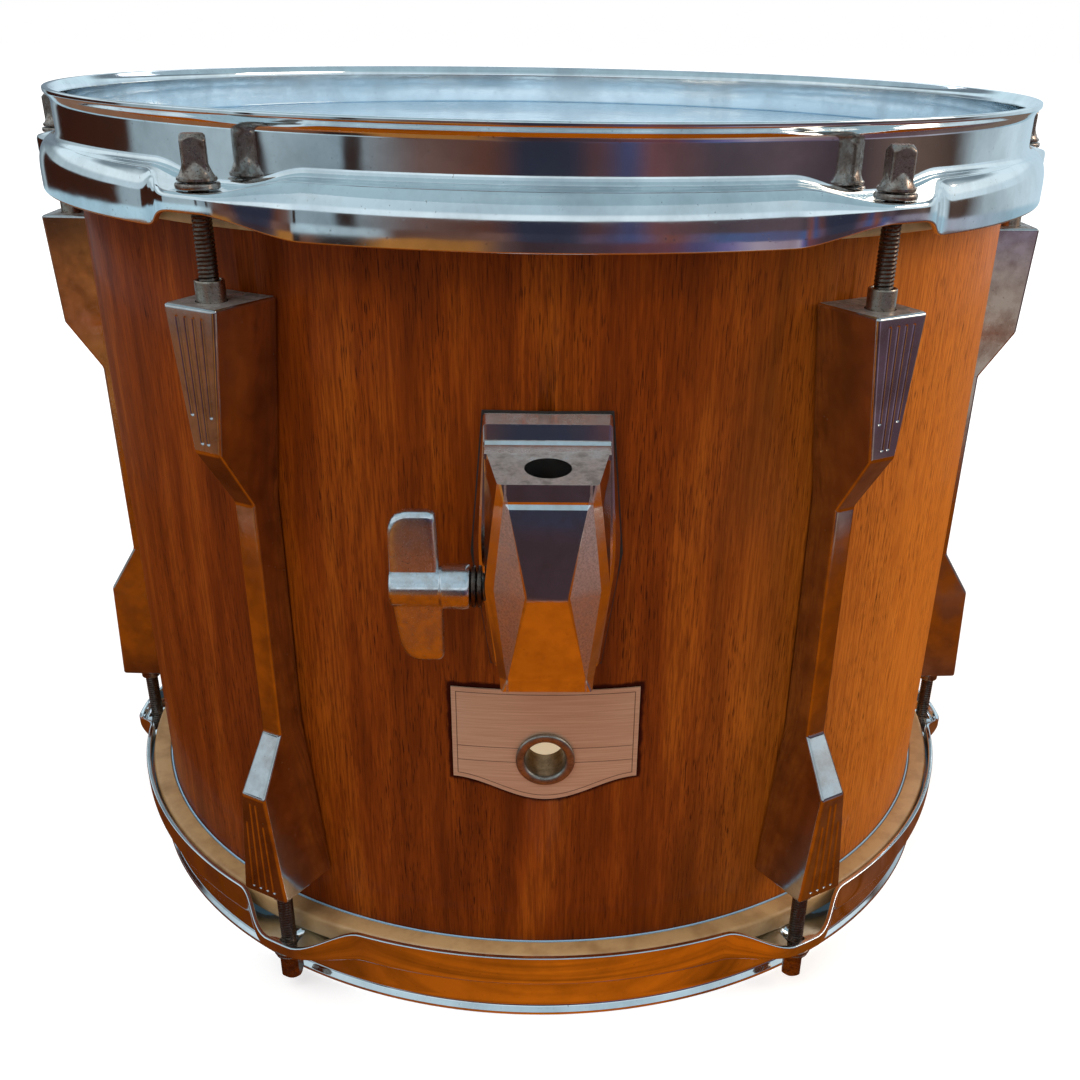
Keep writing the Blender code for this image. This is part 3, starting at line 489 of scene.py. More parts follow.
# Heads: one film each, flat to the edge and turned down into its flesh hoop, a ring of rounded section.
head = {"collar": 164.8, "film": 0.5, "top": 0.8, "end": -12.6, "crease": 2.2}
channel = {"inside": 165.1, "width": 7.0, "top": -4.6, "height": 8.0, "rounding": 1.6}
under = head["top"] - head["film"]
filmCorners = [(0, head["top"]), (head["collar"], head["top"]), (head["collar"], head["end"]),
               (head["collar"] - head["film"], head["end"]), (head["collar"] - head["film"], under),
               (0, under)]
crease = head["crease"]
filmProfile = roundCorners(filmCorners, [0, crease, 0.1, 0.1, crease - head["film"], 0], 7)
ringsAcross = (np.linspace(0, 1, 12)[:, None] * np.array([head["collar"] - crease - 1, 0])
               + np.array([0, head["top"]]))
filmMesh = makeMesh("film", [gridSurface(turned(np.concatenate([ringsAcross, filmProfile[7:]]), 256),
                                         wrapColumns=False)])
channelCorners = [(channel["inside"], channel["top"]), (channel["inside"] + channel["width"], channel["top"]),
                  (channel["inside"] + channel["width"], channel["top"] - channel["height"]),
                  (channel["inside"], channel["top"] - channel["height"])]
channelMesh = makeMesh("flesh_hoop", [gridSurface(turned(
    roundCorners(channelCorners, [0.4, channel["rounding"], channel["rounding"], 0.4]), 256))])
headBodies = {"batter": "drum", "resonant": "resonant_hoop"}
for end, place in endPlaces.items():
    addPiece(f"{end}_film", filmMesh, filmFinish, headBodies[end], [f"{end}_head"], place)
    addPiece(f"{end}_channel", channelMesh, channelFinish, headBodies[end],
             [f"{end}_flesh_hoop"], place)
print("heads made")

# Counter hoops: pressed sheet, plain between the rods and raised into a flat ear at each rod.
hoop = {"sheet": 1.8, "wall": 168.5, "flare": 2.0, "rise": lipRise, "lipEdge": 1.3, "shoulderTop": 1.4,
        "shoulderLow": -4.2, "skirt": 174.9, "skirtEnd": -13.8, "ear": 184.5, "earTop": -2.5,
        "earEnd": -7.5, "earFlat": 9.0, "earSpread": 54.0, "rodHole": 3.25, "stations": 600}


# Plain corners mixed with ear corners by s = t^2 (3 - 2t), where t falls from 1 on an ear's flat to 0.
def hoopPoints():
    sheet, wall, skirt, ear = hoop["sheet"], hoop["wall"], hoop["skirt"], hoop["ear"]
    rise, low, earTop = hoop["rise"], hoop["shoulderLow"], hoop["earTop"]
    plain = [(wall + hoop["flare"], rise), (wall + hoop["flare"], rise - hoop["lipEdge"]),
             (wall, rise - hoop["lipEdge"] - hoop["flare"]), (wall, hoop["shoulderTop"]),
             (wall + 4.0, hoop["shoulderTop"] - 0.9), (skirt, low), (skirt, hoop["skirtEnd"]),
             (skirt - sheet, hoop["skirtEnd"]), (skirt - sheet, low - sheet / 4),
             (wall - sheet, hoop["shoulderTop"] - sheet), (wall - sheet, rise - hoop["flare"]),
             (wall + hoop["flare"] - sheet, rise)]
    eared = plain[:3] + [(wall, earTop), (ear - sheet / 2, earTop), (ear, earTop - sheet / 2),
                         (ear, hoop["earEnd"]), (ear - sheet, hoop["earEnd"]),
                         (ear - sheet, earTop - sheet), (wall - sheet, earTop - sheet)]
    eared += plain[10:]
    plainRound = roundCorners(plain, [0.5, 0.4, 1.6, 2.4, 2.4, 5.2, 0.6, 0.5, 1.6, 1.2, 1.6, 0.5], 7)
    earRound = roundCorners(eared, [0.5, 0.4, 1.6, 1.8, 0.9, 0.9, 0.6, 0.5, 0.8, 0.8, 1.6, 0.5], 7)
    angle = np.linspace(0, 2 * pi, hoop["stations"], endpoint=False)
    pitch = 2 * pi / len(rodAngles)
    arc = np.abs((angle - radians(rodAngles[0]) + pitch / 2) % pitch - pitch / 2) * skirt
    t = np.clip((hoop["earSpread"] / 2 - arc) / (hoop["earSpread"] / 2 - hoop["earFlat"] / 2), 0, 1)
    share = (t * t * (3 - 2 * t))[:, None]
    r, z = (plainRound[:, axis] + (earRound[:, axis] - plainRound[:, axis]) * share for axis in (0, 1))
    return np.stack([r * np.sin(angle)[:, None], -r * np.cos(angle)[:, None], z], -1)


rodCircle = 178.2
rodSpots = [Matrix.Rotation(radians(a), 4, "Z") @ Matrix.Translation((0, -rodCircle, 0)) for a in rodAngles]
holes = [cylinderSurface(hoop["rodHole"], -9, 2, spot, 24) for spot in rodSpots]
hoopMesh = withSteps(makeMesh("hoop", [gridSurface(hoopPoints())]), [cut(holes)])
for end, place in endPlaces.items():
    addPiece(f"{end}_rim", hoopMesh, hoopFinish, f"{end}_hoop", [f"{end}_hoop"], place)
print("hoops made")

# Tension rods: a cut thread up to a round flange, then a cone that runs out on a square key head.
rod = {"radius": 2.7, "root": 2.42, "pitch": 25.4 / 24, "end": -52.3, "seat": -0.3, "flange": 5.1,
       "flangeHeight": 1.1, "square": 6.35, "head": 10.0, "coneTop": 3.6, "corner": 1.30, "tip": 0.86,
       "columns": 24, "perTurn": 5}


# Radius = root + depth x triangle wave of (height / pitch - angle / full turn), fading out at both ends.
def threadPoints(low, high, full, root, pitch, columns, perTurn):
    z = np.linspace(low, high, int((high - low) / pitch * perTurn))[:, None]
    angle = np.linspace(0, 2 * pi, columns, endpoint=False)[None, :]
    phase = (z / pitch - angle / (2 * pi)) % 1
    wave = np.abs(2 * phase - 1)
    ends = np.clip((z - low) / 1.2, 0.25, 1) * np.clip((high - z) / 1.0, 0, 1)
    r = root + (full - root) * wave * ends
    r = np.where(z < low + 0.6, r - 0.5 * (low + 0.6 - z), r)
    return np.stack([r * np.cos(angle), r * np.sin(angle), np.broadcast_to(z, r.shape)], -1)


# Head: radius = the larger of the cone and the smaller of the square's side and the chamfer's cone.
def rodHeadPoints(columns=64):
    base = rod["seat"]
    top = base + rod["flangeHeight"] + rod["head"]
    angle = np.linspace(0, 2 * pi, columns, endpoint=False)[None, :]
    z = np.linspace(base + rod["flangeHeight"], top, 40)[:, None]
    half = rod["square"] / 2
    side = half / np.maximum(np.abs(np.cos(angle)), np.abs(np.sin(angle)))
    side = np.minimum(side, half * rod["corner"])
    chamfer = half * rod["tip"] + top - z
    cone = half + (rod["flange"] - 0.5 - half) * np.clip(1 - (z - z[0]) / rod["coneTop"], 0, 1) ** 1.5
    r = np.maximum(np.minimum(side, chamfer), np.where(z - z[0] < rod["coneTop"], cone, 0))
    neck = np.stack([r * np.cos(angle), r * np.sin(angle), np.broadcast_to(z, r.shape)], -1)
    discRadius = np.array([rod["radius"], rod["flange"] - 0.3, rod["flange"], rod["flange"],
                           rod["flange"] - 0.25])[:, None]
    discZ = base + rod["flangeHeight"] * np.array([0, 0, 0.25, 0.75, 1.0])[:, None]
    disc = np.stack([discRadius * np.cos(angle), discRadius * np.sin(angle),
                     np.broadcast_to(discZ, (5, columns))], -1)
    tip = np.broadcast_to(np.array([0, 0, top]), (1, columns, 3))
    root = np.broadcast_to(np.array([0, 0, base]), (1, columns, 3))
    return np.concatenate([root, disc, neck, tip])


def rodMesh():
    shaft = threadPoints(rod["end"], rod["seat"], rod["radius"], rod["root"], rod["pitch"], rod["columns"],
                         rod["perTurn"])
    return makeMesh("rod", [loftSurface(shaft), gridSurface(rodHeadPoints(), wrapRows=False)], 40)


washer = {"radius": 5.7, "hole": 3.05, "low": -2.2, "high": -0.6}
nut = {"collar": 3.95, "body": 5.0, "bore": 3.05, "top": -24.5, "step": -33.0, "end": -49.0}
washerProfile = roundCorners([(washer["radius"], washer["high"]), (washer["radius"], washer["low"]),
                              (washer["hole"], washer["low"]), (washer["hole"], washer["high"])],
                             [0.6, 0.6, 0.2, 0.2], 4)
washerMesh = makeMesh("washer", [gridSurface(turned(washerProfile, 48))])
nutProfile = roundCorners([(nut["collar"], nut["top"]), (nut["collar"], nut["step"]),
                           (nut["body"], nut["step"]), (nut["body"], nut["end"]), (nut["bore"], nut["end"]),
                           (nut["bore"], nut["top"])], [0.5, 0.1, 0.4, 0.4, 0.3, 0.5], 4)
nutMesh = makeMesh("nut", [gridSurface(turned(nutProfile, 48))])
tensionRod = rodMesh()
squareTurns = [-24, -21, 33, 14, -38, 42]  # how far each key head happens to be turned, in degrees
for end, endPlace in endPlaces.items():
    for i, spot in enumerate(rodSpots, 1):
        turn = Matrix.Rotation(radians(squareTurns[i - 1]), 4, "Z")
        here = endPlace @ spot
        addPiece(f"{end}_key_rod_{i}", tensionRod, rodFinish, f"{end}_rod_{i}",
                 [f"{end}_tension_rod_{i}"], here @ turn)
        addPiece(f"{end}_rod_washer_{i}", washerMesh, rodFinish, f"{end}_hoop",
                 [f"{end}_washer_{i}"], here)
        addPiece(f"{end}_lug_nut_{i}", nutMesh, nutFinish, "drum", [f"{end}_swivel_nut_{i}"],
                 here)
print("rods made")

# Lugs: one casting each, wide at both ends, cut back to a thin rib between, with grooves in both faces.
lug = {"ends": [(97.0, 10.2, 9.0, 187.0), (57.0, 6.0, 4.8, 187.0), (39.0, 3.8, 3.8, 175.5)],
       "saddle": 164.3, "corner": 1.0, "mouth": 4.3, "mouthDepth": 2.7, "socket": 5.35, "socketEnd": 57.3,
       "screw": 2.4, "screwHead": 5.2, "grooves": [(4.4, 236.8, 3.4, 211.0), (1.45, 236.8, 1.1, 203.2)],
       "grooveRadius": 0.75, "grooveDepth": 0.42}


def lugRing(z, base, face, reach):
    back = -np.sqrt(lug["saddle"] ** 2 - base ** 2)
    corners = np.array([(-base, back), (-face, -reach), (face, -reach), (base, back), (0, -lug["saddle"])])
    return np.column_stack([corners, np.full(len(corners), z)])


def capsule(start, end, radius):
    start, end = Vector(start), Vector(end)
    long = (end - start).length
    t = np.linspace(0, pi / 2, 6)
    profile = np.concatenate([np.stack([radius * np.sin(t), -radius * np.cos(t)], -1),
                              np.stack([radius * np.cos(t), long + radius * np.sin(t)], -1)])
    turn = (end - start).to_track_quat("Z", "Y").to_matrix().to_4x4()
    return placed(gridSurface(turned(profile, 16), wrapColumns=False), Matrix.Translation(start) @ turn)


def lugMesh():
    middle = height * 1000 / 2
    rings = [lugRing(middle + z, *sizes) for z, *sizes in lug["ends"]]
    rings += [lugRing(middle - z, *sizes) for z, *sizes in reversed(lug["ends"])]
    cuts = []
    face = lug["ends"][0][3]
    for flip in (1, -1):
        tip = middle + flip * lug["ends"][0][0]
        spot = (Matrix.Translation((0, -rodCircle, tip))
                @ (Matrix() if flip == 1 else Matrix.Rotation(pi, 4, "X")))
        socketLow = -lug["socketEnd"] + 30 + 1
        cuts += [cylinderSurface(lug["mouth"], -lug["mouthDepth"] - 0.5, 2, spot, 32),
                 cylinderSurface(lug["socket"], socketLow, -lug["mouthDepth"], spot, 32)]
        for x0, z0, x1, z1 in lug["grooves"]:
            for side in (1, -1):
                y = -face - lug["grooveRadius"] + lug["grooveDepth"]
                start = (side * x0, y, middle + flip * (z0 - middle))
                end = (side * x1, y, middle + flip * (z1 - middle))
                cuts.append(capsule(start, end, lug["grooveRadius"]))
    rounded = ("BEVEL", {"width": lug["corner"], "segments": 3, "angle_limit": radians(15)})
    evened = ("WEIGHTED_NORMAL", {"keep_sharp": True})
    made = withSteps(makeMesh("lug", [loftSurface(rings)], 70), [rounded, cut(cuts)])
    made.set_sharp_from_angle(angle=radians(35))
    return withSteps(made, [evened])


def screwSurface(z, reach):
    head = shell["radius"] - shell["wall"] - 0.3 - lug["screwHead"] * np.tan(pi / 60)
    profile = [(0, reach), (lug["screw"], reach), (lug["screw"], head), (lug["screwHead"], head),
               (lug["screwHead"] - 1.5, head - 3), (0, head - 3)]
    profile = roundCorners(profile, [0, 0.4, 0.2, 0.4, 0.8, 0], 4)
    return placed(gridSurface(turned(profile, 24), wrapColumns=False), radialPlace(0, z))


lugBody = lugMesh()
lugScrews = makeMesh("screws", [screwSurface(z, 166.5) for z in screwHeights["lug"]])
for i, angle in enumerate(rodAngles, 1):
    place = drumPlace @ Matrix.Rotation(radians(angle), 4, "Z")
    addPiece(f"cast_lug_{i}", lugBody, lugFinish, "drum", [f"lug_{i}"], place)
    addPiece(f"lug_screws_{i}", lugScrews, zincFinish, "drum", (), place)
print("lugs made")

# Bracket: a bevelled base, and a body whose front has a border round two trapezoids that meet in a ridge.
bracket = {"back": 165.6, "bore": 6.2, "boreAt": 184.0, "clampZ": 170.9, "bolt": 4.35, "pocket": 10.75,
           "pocketHalf": 4.85, "levels": (165.6, 166.2, 170.3, 170.9),
           "top": ((17.5, 213.4), (17.5, 213.4), (17.3, 211.8), (17.2, 207.6)),
           "waist": ((21.4, 172.5), (21.4, 172.5), (19.6, 172.8), (18.7, 173.0)),
           "foot": ((16.4, 137.0), (16.4, 137.0), (15.3, 138.4), (14.8, 139.4)),
           "rows": [(206.0, 17.2, (13.0, 29.3), (12.5, 29.8), (11.9, 30.0), 0.094),
                    (199.2, 17.2, (13.6, 28.9), (11.5, 30.1), (11.0, 30.2), 0.0),
                    (198.5, 17.2, (13.7, 28.9), (11.4, 30.0), (10.9, 30.1), 0.0),
                    (197.4, 17.2, (13.9, 28.8), (11.3, 29.9), (10.0, 31.0), 0.0),
                    (175.1, 17.2, (16.6, 27.0), (14.5, 28.7), (5.5, 34.0), 0.0),
                    (172.8, 17.2, (16.6, 27.0), (14.5, 28.7), (5.3, 34.0), 0.0),
                    (147.0, 15.1, (13.3, 25.3), (11.3, 27.0), (10.7, 27.6), 0.0),
                    (145.6, 15.0, (13.1, 25.1), (11.2, 26.8), (10.7, 27.2), 0.0),
                    (142.0, 14.9, (12.9, 24.8), (12.6, 26.4), (12.2, 27.0), 0.0)]}


# A flat outline in x and z laid on the cylinder of radius r: (x, -sqrt(r^2 - x^2), z).
def onCylinder(outline, radius):
    outline = np.asarray(outline, float)
    return np.stack([outline[:, 0], -np.sqrt(radius ** 2 - outline[:, 0] ** 2), outline[:, 1]], -1)


# A row of the body: back, side edge, border and front edge by half width and reach, sloping down outwards.
def bodyRing(z, backHalf, side, border, front, slope):
    right = np.array([(backHalf, 1.0), (backHalf, 6.1), side, border, front])
    half = np.column_stack([right[:, 0], -shell["radius"] - right[:, 1], z - slope * (right[:, 1] - 6.1)])
    return np.concatenate([half, half[::-1] * [-1, 1, 1]])


def bracketMesh():
    levels = []
    for radius, *corners in zip(bracket["levels"], bracket["top"], bracket["waist"], bracket["foot"]):
        outline = corners + [(-x, z) for x, z in reversed(corners)]
        levels.append(onCylinder(roundCorners(outline, [1.0, 9, 1.2, 1.2, 9, 1.0], 7), radius))
    body = loftSurface([bodyRing(*row) for row in bracket["rows"]])
    fillet = np.array([(168.0, 204.0), (168.0, 207.6), (170.8, 207.6), (171.7, 206.8), (173.2, 206.1),
                       (175.4, 205.5), (175.4, 204.0)])
    filletRings = [np.column_stack([np.full(len(fillet), x), -fillet[:, 0], fillet[:, 1]])
                   for x in (-16.9, 16.9)]
    boreSpot = Matrix.Translation((0, -bracket["boreAt"], 0))
    angle = np.linspace(0, pi, 13)
    room, mouth = bracket["pocket"], bracket["boreAt"] - bracket["back"] + 2
    arc = np.column_stack([room * np.cos(angle), -room * np.sin(angle)])
    slotOutline = np.concatenate([[(room, mouth)], arc, [(-room, mouth)]]) - [0, bracket["boreAt"]]
    slotZ = [bracket["clampZ"] - bracket["pocketHalf"], bracket["clampZ"] + bracket["pocketHalf"]]
    pocket = [np.column_stack([slotOutline, np.full(len(slotOutline), z)]) for z in slotZ]
    gland = Matrix.Translation((0, -bracket["boreAt"], bracket["clampZ"])) @ Matrix.Rotation(-pi / 2, 4, "Y")
    back = cylinderSurface(bracket["back"], 100, 240, Matrix(), 240)
    return withSteps(makeMesh("bracket", [body], 20), [
        join([loftSurface(filletRings)]), cut([back]), join([loftSurface(levels)]),
        cut([cylinderSurface(bracket["bore"], 130, 220, boreSpot, 64)]), cut([loftSurface(pocket)]),
        cut([cylinderSurface(bracket["bolt"], 6, 22, gland, 32)])])


bracketBody = addPiece("rod_bracket", bracketMesh(), bracketFinish, "drum",
                       ["mount_bracket"])
modifier = bracketBody.modifiers.new("edges", "BEVEL")
modifier.width = 0.38 * mm
modifier.segments = 3
modifier.angle_limit = radians(10)
modifier.harden_normals = True
print("bracket made")

# Clamp: an eye bolt round the holder's rod, two rings and a cast wing nut.
clamp = {"eyeWall": 2.7, "eyeHalf": 4.5, "bolt": 4.0, "boltRoot": 3.6, "boltPitch": 1.25, "boltEnd": 40.8,
         "ring": 5.8, "ringThick": 1.3, "ringStarts": (17.6, 19.2), "nutStart": 20.8}
clampSpot = drumPlace @ Matrix.Translation((0, -bracket["boreAt"], bracket["clampZ"]))
towardsNut = Matrix.Rotation(-pi / 2, 4, "Y")
eyeOuter, eyeHalf = bracket["bore"] + clamp["eyeWall"], clamp["eyeHalf"]
eyeCorners = [(eyeOuter, eyeHalf), (eyeOuter, -eyeHalf), (bracket["bore"], -eyeHalf),
              (bracket["bore"], eyeHalf)]
shank = threadPoints(7.4, clamp["boltEnd"], clamp["bolt"], clamp["boltRoot"], clamp["boltPitch"], 24, 6)
eyeSurface = gridSurface(turned(roundCorners(eyeCorners, 0.6, 4), 64))
eyeMesh = makeMesh("eye", [eyeSurface, placed(loftSurface(shank), towardsNut)])
addPiece("threaded_eye", eyeMesh, zincFinish, "eye_bolt", ["eye_bolt"], clampSpot)
ringCorners = [(clamp["ring"], clamp["ringThick"]), (clamp["ring"], 0), (bracket["bolt"], 0),
               (bracket["bolt"], clamp["ringThick"])]
ringMesh = makeMesh("ring", [gridSurface(turned(roundCorners(ringCorners, [0.5, 0.5, 0.2, 0.2], 4), 64))])
for name, node, start in zip(("plain_ring", "spring_ring"), ("clamp_washer", "clamp_lock_washer"),
                             clamp["ringStarts"]):
    addPiece(name, ringMesh, rodFinish, "drum", [node],
             clampSpot @ Matrix.Translation((-start, 0, 0)) @ towardsNut)

wing = {"hub": 5.6, "length": 21.8, "neck": 6.35, "neckLength": 7.7, "thick": 4.6,
        "upper": [(-21.8, 2.5), (-21.8, 22.2), (-8.8, 22.2), (-8.1, 2.5)],
        "lower": [(-21.8, 2.5), (-19.0, 22.2), (-7.5, 22.2), (-7.4, 2.5)]}


# A wing is its outline in x and z, drawn in by a share at each level of y: a flat face with a round edge.
def wingSurface(corners, radii, side):
    outline = roundCorners(corners, radii, 9) * [1, side]
    middle = outline.mean(0)
    half = wing["thick"] / 2
    face = [(half, 0.60), (half, 0.78), (half * 0.97, 0.85), (half * 0.86, 0.92), (half * 0.6, 0.975),
            (0, 1.0)]
    levels = [(-y, share) for y, share in face] + face[-2::-1]
    rings = []
    for y, share in levels:
        flat = middle + (outline - middle) * share
        rings.append(np.column_stack([flat[:, 0], np.full(len(flat), y), flat[:, 1]]))
    return loftSurface(rings)


hubCorners = [(0, 0), (5.9, 0), (wing["neck"], 1.2), (wing["neck"] - 0.2, wing["neckLength"]),
              (wing["hub"], wing["neckLength"] + 0.5), (wing["hub"], wing["length"]), (0, wing["length"])]
hubProfile = roundCorners(hubCorners, [0, 0.6, 1.0, 0.4, 0.4, 1.2, 0], 6)
hubSurface = placed(gridSurface(turned(hubProfile, 72), wrapColumns=False), towardsNut)
wingNutMesh = withSteps(makeMesh("wing_nut", [hubSurface], 30),
                        [join([wingSurface(wing["upper"], [0.2, 7.5, 2.4, 0.2], 1)]),
                         join([wingSurface(wing["lower"], [0.2, 6.5, 2.6, 0.2], -1)]),
                         cut([placed(cylinderSurface(bracket["bolt"], -2, 25, Matrix(), 32), towardsNut)])])
wingPiece = addPiece("cast_wing_nut", wingNutMesh, wingFinish, "wing_nut", ["wing_nut"],
                     clampSpot @ Matrix.Translation((-clamp["nutStart"], 0, 0)))
wingPiece.data.shade_smooth()
wingPiece.data.set_sharp_from_angle(angle=radians(55))
print("clamp made")

# Badge: a thin curved plate with a border line, and a rolled grommet through it.
# Foot of the badge at x: foot + (point - foot) (1 + cos(pi x / half)) / 2 below the vent.
def badgeFoot(x):
    return ventZ - badge["foot"] - (badge["point"] - badge["foot"]) * (1 + np.cos(pi * x / badge["half"])) / 2


def badgeMesh():
    x = np.linspace(-badge["half"], badge["half"], 61)[:, None]
    t = np.linspace(0, 1, 13)[None, :]
    z = badgeFoot(x) * (1 - t) + (ventZ + badge["top"]) * t
    rings = []
    for radius in (badge["back"], badge["back"] + badge["plate"]):
        rings.append(np.stack(np.broadcast_arrays(x, -np.sqrt(radius ** 2 - x ** 2), z), -1))
    rims = [[ring[:, 0] for ring in rings], [ring[:, -1] for ring in rings], [ring[0] for ring in rings],
            [ring[-1] for ring in rings]]
    return makeMesh("badge", [gridSurface(np.stack(rim), False, False) for rim in rims]
                    + [gridSurface(ring, False, False) for ring in rings], 30)


# Aluminium sheet, brushed along its length and lacquered warm, with printed border lines.
def badgeMaterial():
    material, node, shader = newMaterial("brushedAluminiumPlate", {"Metallic": 0.5, "Roughness": 0.38})
    here = drumCoordinates(node)
    apart = node("SeparateXYZ", None, [here]).node
    x, z = apart.outputs[0], apart.outputs[2]
    brushed = grain(node, here, 0.4, (50, 50, 1), 3, 0.6)
    share = node("MapRange", None, [brushed, 0.35, 0.65, 0.1, 0.9])
    tone = node("Mix", asColour, {0: share, 6: badge["metal"], 7: badge["shade"]}, 2)
    inset = badgeInset(node, x, z)
    border = node("Math", equal, [inset, badge["border"], badge["lineHalf"]])
    fromVent = node("Math", absolute, [node("Math", minus, [z, ventZ + badge["bandRise"]])])
    band = node("Math", equal, [fromVent, badge["band"], badge["bandHalf"]])
    within = node("Math", times, [band, node("Math", beyond, [inset, badge["border"]])])
    ink = node("Math", times, [node("Math", most, [border, within]), badge["ink"]])
    colour = node("Mix", asColour, {0: ink, 6: tone, 7: badge["line"]}, 2)
    normal = node("Bump", None, {"Height": brushed, "Distance": 0.02 * mm, "Strength": 0.3})
    plug(shader, {"Base Color": colour, "Normal": normal})
    return material


ventSpot = [cylinderSurface(shell["ventHole"], 160, 170, radialPlace(0, ventZ), 48)]
badgeMeshMade = withSteps(badgeMesh(), [cut(ventSpot)])
addPiece("vent_badge", badgeMeshMade, badgeMaterial(), "drum", ["badge"])
grommet = {"bore": 6.3, "tube": 7.0, "flange": 9.25, "front": 166.4, "seat": 165.2, "back": 152.78}
grommetCorners = [(grommet["flange"], grommet["front"]), (grommet["flange"], grommet["seat"]),
                  (grommet["tube"], grommet["seat"]), (grommet["tube"], grommet["back"]),
                  (grommet["bore"], grommet["back"]), (grommet["bore"], grommet["front"])]
grommetProfile = roundCorners(grommetCorners, [1.0, 0.2, 0.2, 0.2, 0.3, 1.5], 7)
grommetMesh = makeMesh("grommet", [gridSurface(turned(grommetProfile, 96))])
addPiece("rolled_grommet", grommetMesh, grommetFinish, "drum", ["vent_grommet"],
         drumPlace @ radialPlace(0, ventZ))
print("badge made")

for name, finish in (("bracket_gasket", gasketFinish), ("bracket_screw_upper", zincFinish),
                     ("bracket_screw_lower", zincFinish), ("vent_washer", zincFinish)):
    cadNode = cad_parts[name]
    cadNode.data.materials.clear()
    cadNode.data.materials.append(finish)

# Stage: a white floor and surround, and painted cards that show only in plating and gloss, like a room.
stage = {"ambient": 0.55, "keyPower": 14.0, "sidePower": 15.0, "backPower": 7.0, "cardRadius": 1.5,
         "tableEdge": 0.58, "ceiling": 1.25, "cardRise": 0.0004}


def stageObject(name, surfaces, material, onlyReflected=False):
    mesh = makeMesh(name, surfaces)
    mesh.materials.append(material)
    made = bpy.data.objects.new(name, mesh)
    bpy.context.collection.objects.link(made)
    if onlyReflected:
        for ray in ("camera", "diffuse", "shadow", "transmission", "volume_scatter"):
            setattr(made, f"visible_{ray}", False)
    return made


def seenRays(node):
    rays = node("LightPath").node
    mirrored = node("Math", most, [rays.outputs["Is Glossy Ray"], rays.outputs["Is Transmission Ray"]])
    return node("Math", most, [rays.outputs["Is Camera Ray"], mirrored])


def studioWorld():
    world = bpy.data.worlds.new("studio")
    world.use_nodes = True
    world.node_tree.nodes.clear()
    node = partial(addNode, world.node_tree)
    ambient = node("Background", None, ["#F3F1EF", stage["ambient"]])
    backdrop = node("Background", None, ["#FFFFFF", 1.0])
    node("OutputWorld", None, [node("MixShader", None, [seenRays(node), ambient, backdrop])])
    return world


# Matt white paper: where it is looked at, a glow lifts it to white, and the drum's shadow still falls on it.
def paperMaterial():
    material, node, shader = newMaterial("matPaper", {
        "Base Color": "#C9C9C9", "Roughness": 0.9, "Specular IOR Level": 0.0})
    far = node("VectorMath", length, [node("TexCoord", None, (), "Object")], "Value")
    glow = node("Emission", None, ["#FFFFFF", node("MapRange", None, [far, 0.3, 1.4, 0.62, 1.0])])
    seen = node("MixShader", None, [seenRays(node), node("Emission", None, ["#000000", 0.0]), glow])
    lifted = node("AddShader", None, [shader.outputs[0], seen])
    plug(material.node_tree.nodes["Material Output"], {"Surface": lifted})
    material.cycles.emission_sampling = "NONE"
    return material


bpy.context.scene.world = studioWorld()
floorGrid = np.array([[(x, y, -0.0005) for y in (-12, 12)] for x in (-12, 12)], float)
stageObject("floor", [gridSurface(floorGrid, False, False)], paperMaterial())


# Painted card: a layer has the heights in metres between which it takes over, or the radii on a flat card,
# and its colours by angle from -180 to 180 degrees. They were chosen one by one.
def cardMaterial(name, layers, planks=None, flat=False):
    material = bpy.data.materials.new(name)
    material.use_nodes = True
    material.node_tree.nodes.clear()
    node = partial(addNode, material.node_tree)
    here = node("TexCoord", None, (), "Object")
    apart = node("SeparateXYZ", None, [here]).node
    forward = node("Math", times, [apart.outputs[1], -1.0])
    angle = node("Math", {"operation": "ARCTAN2"}, [apart.outputs[0], forward])
    share = node("MapRange", None, [angle, -pi, pi])
    tone, reach = None, apart.outputs[2]
    if flat:
        reach = node("VectorMath", length, [here], "Value")
    for low, high, stops in layers:
        ramp = {"stops": [(0.5 + degrees / 360, colour) for degrees, colour in stops]}
        painted = node("ValToRGB", ramp, [share])
        if tone is None:
            tone = painted
            continue
        above = node("MapRange", smooth, [reach, low, high])
        tone = node("Mix", asColour, {0: above, 6: tone, 7: painted}, 2)
    if planks:
        drawn = node("Mapping", None, {"Vector": here, "Scale": (planks["along"], planks["across"], 1.0)})
        streaks = node("TexNoise", None, {"Vector": drawn, "Scale": 1.0, "Detail": 5.0, "Roughness": 0.65})
        streakShare = node("MapRange", None, [streaks, 0.42, 0.68, 0.0, 0.85])
        place = node("Math", {"operation": "PINGPONG"}, [apart.outputs[1], planks["width"] / 2])
        seam = node("MapRange", None, [place, 0.0, planks["seam"], 1.0, 0.0])
        dark = node("Math", most, [streakShare, seam])
        tone = node("Mix", asColour, {0: dark, 6: tone, 7: planks["dark"]}, 2)
    node("OutputMaterial", None, [node("Emission", None, [tone, 1.0])])
    material.cycles.emission_sampling = "NONE"
    return material


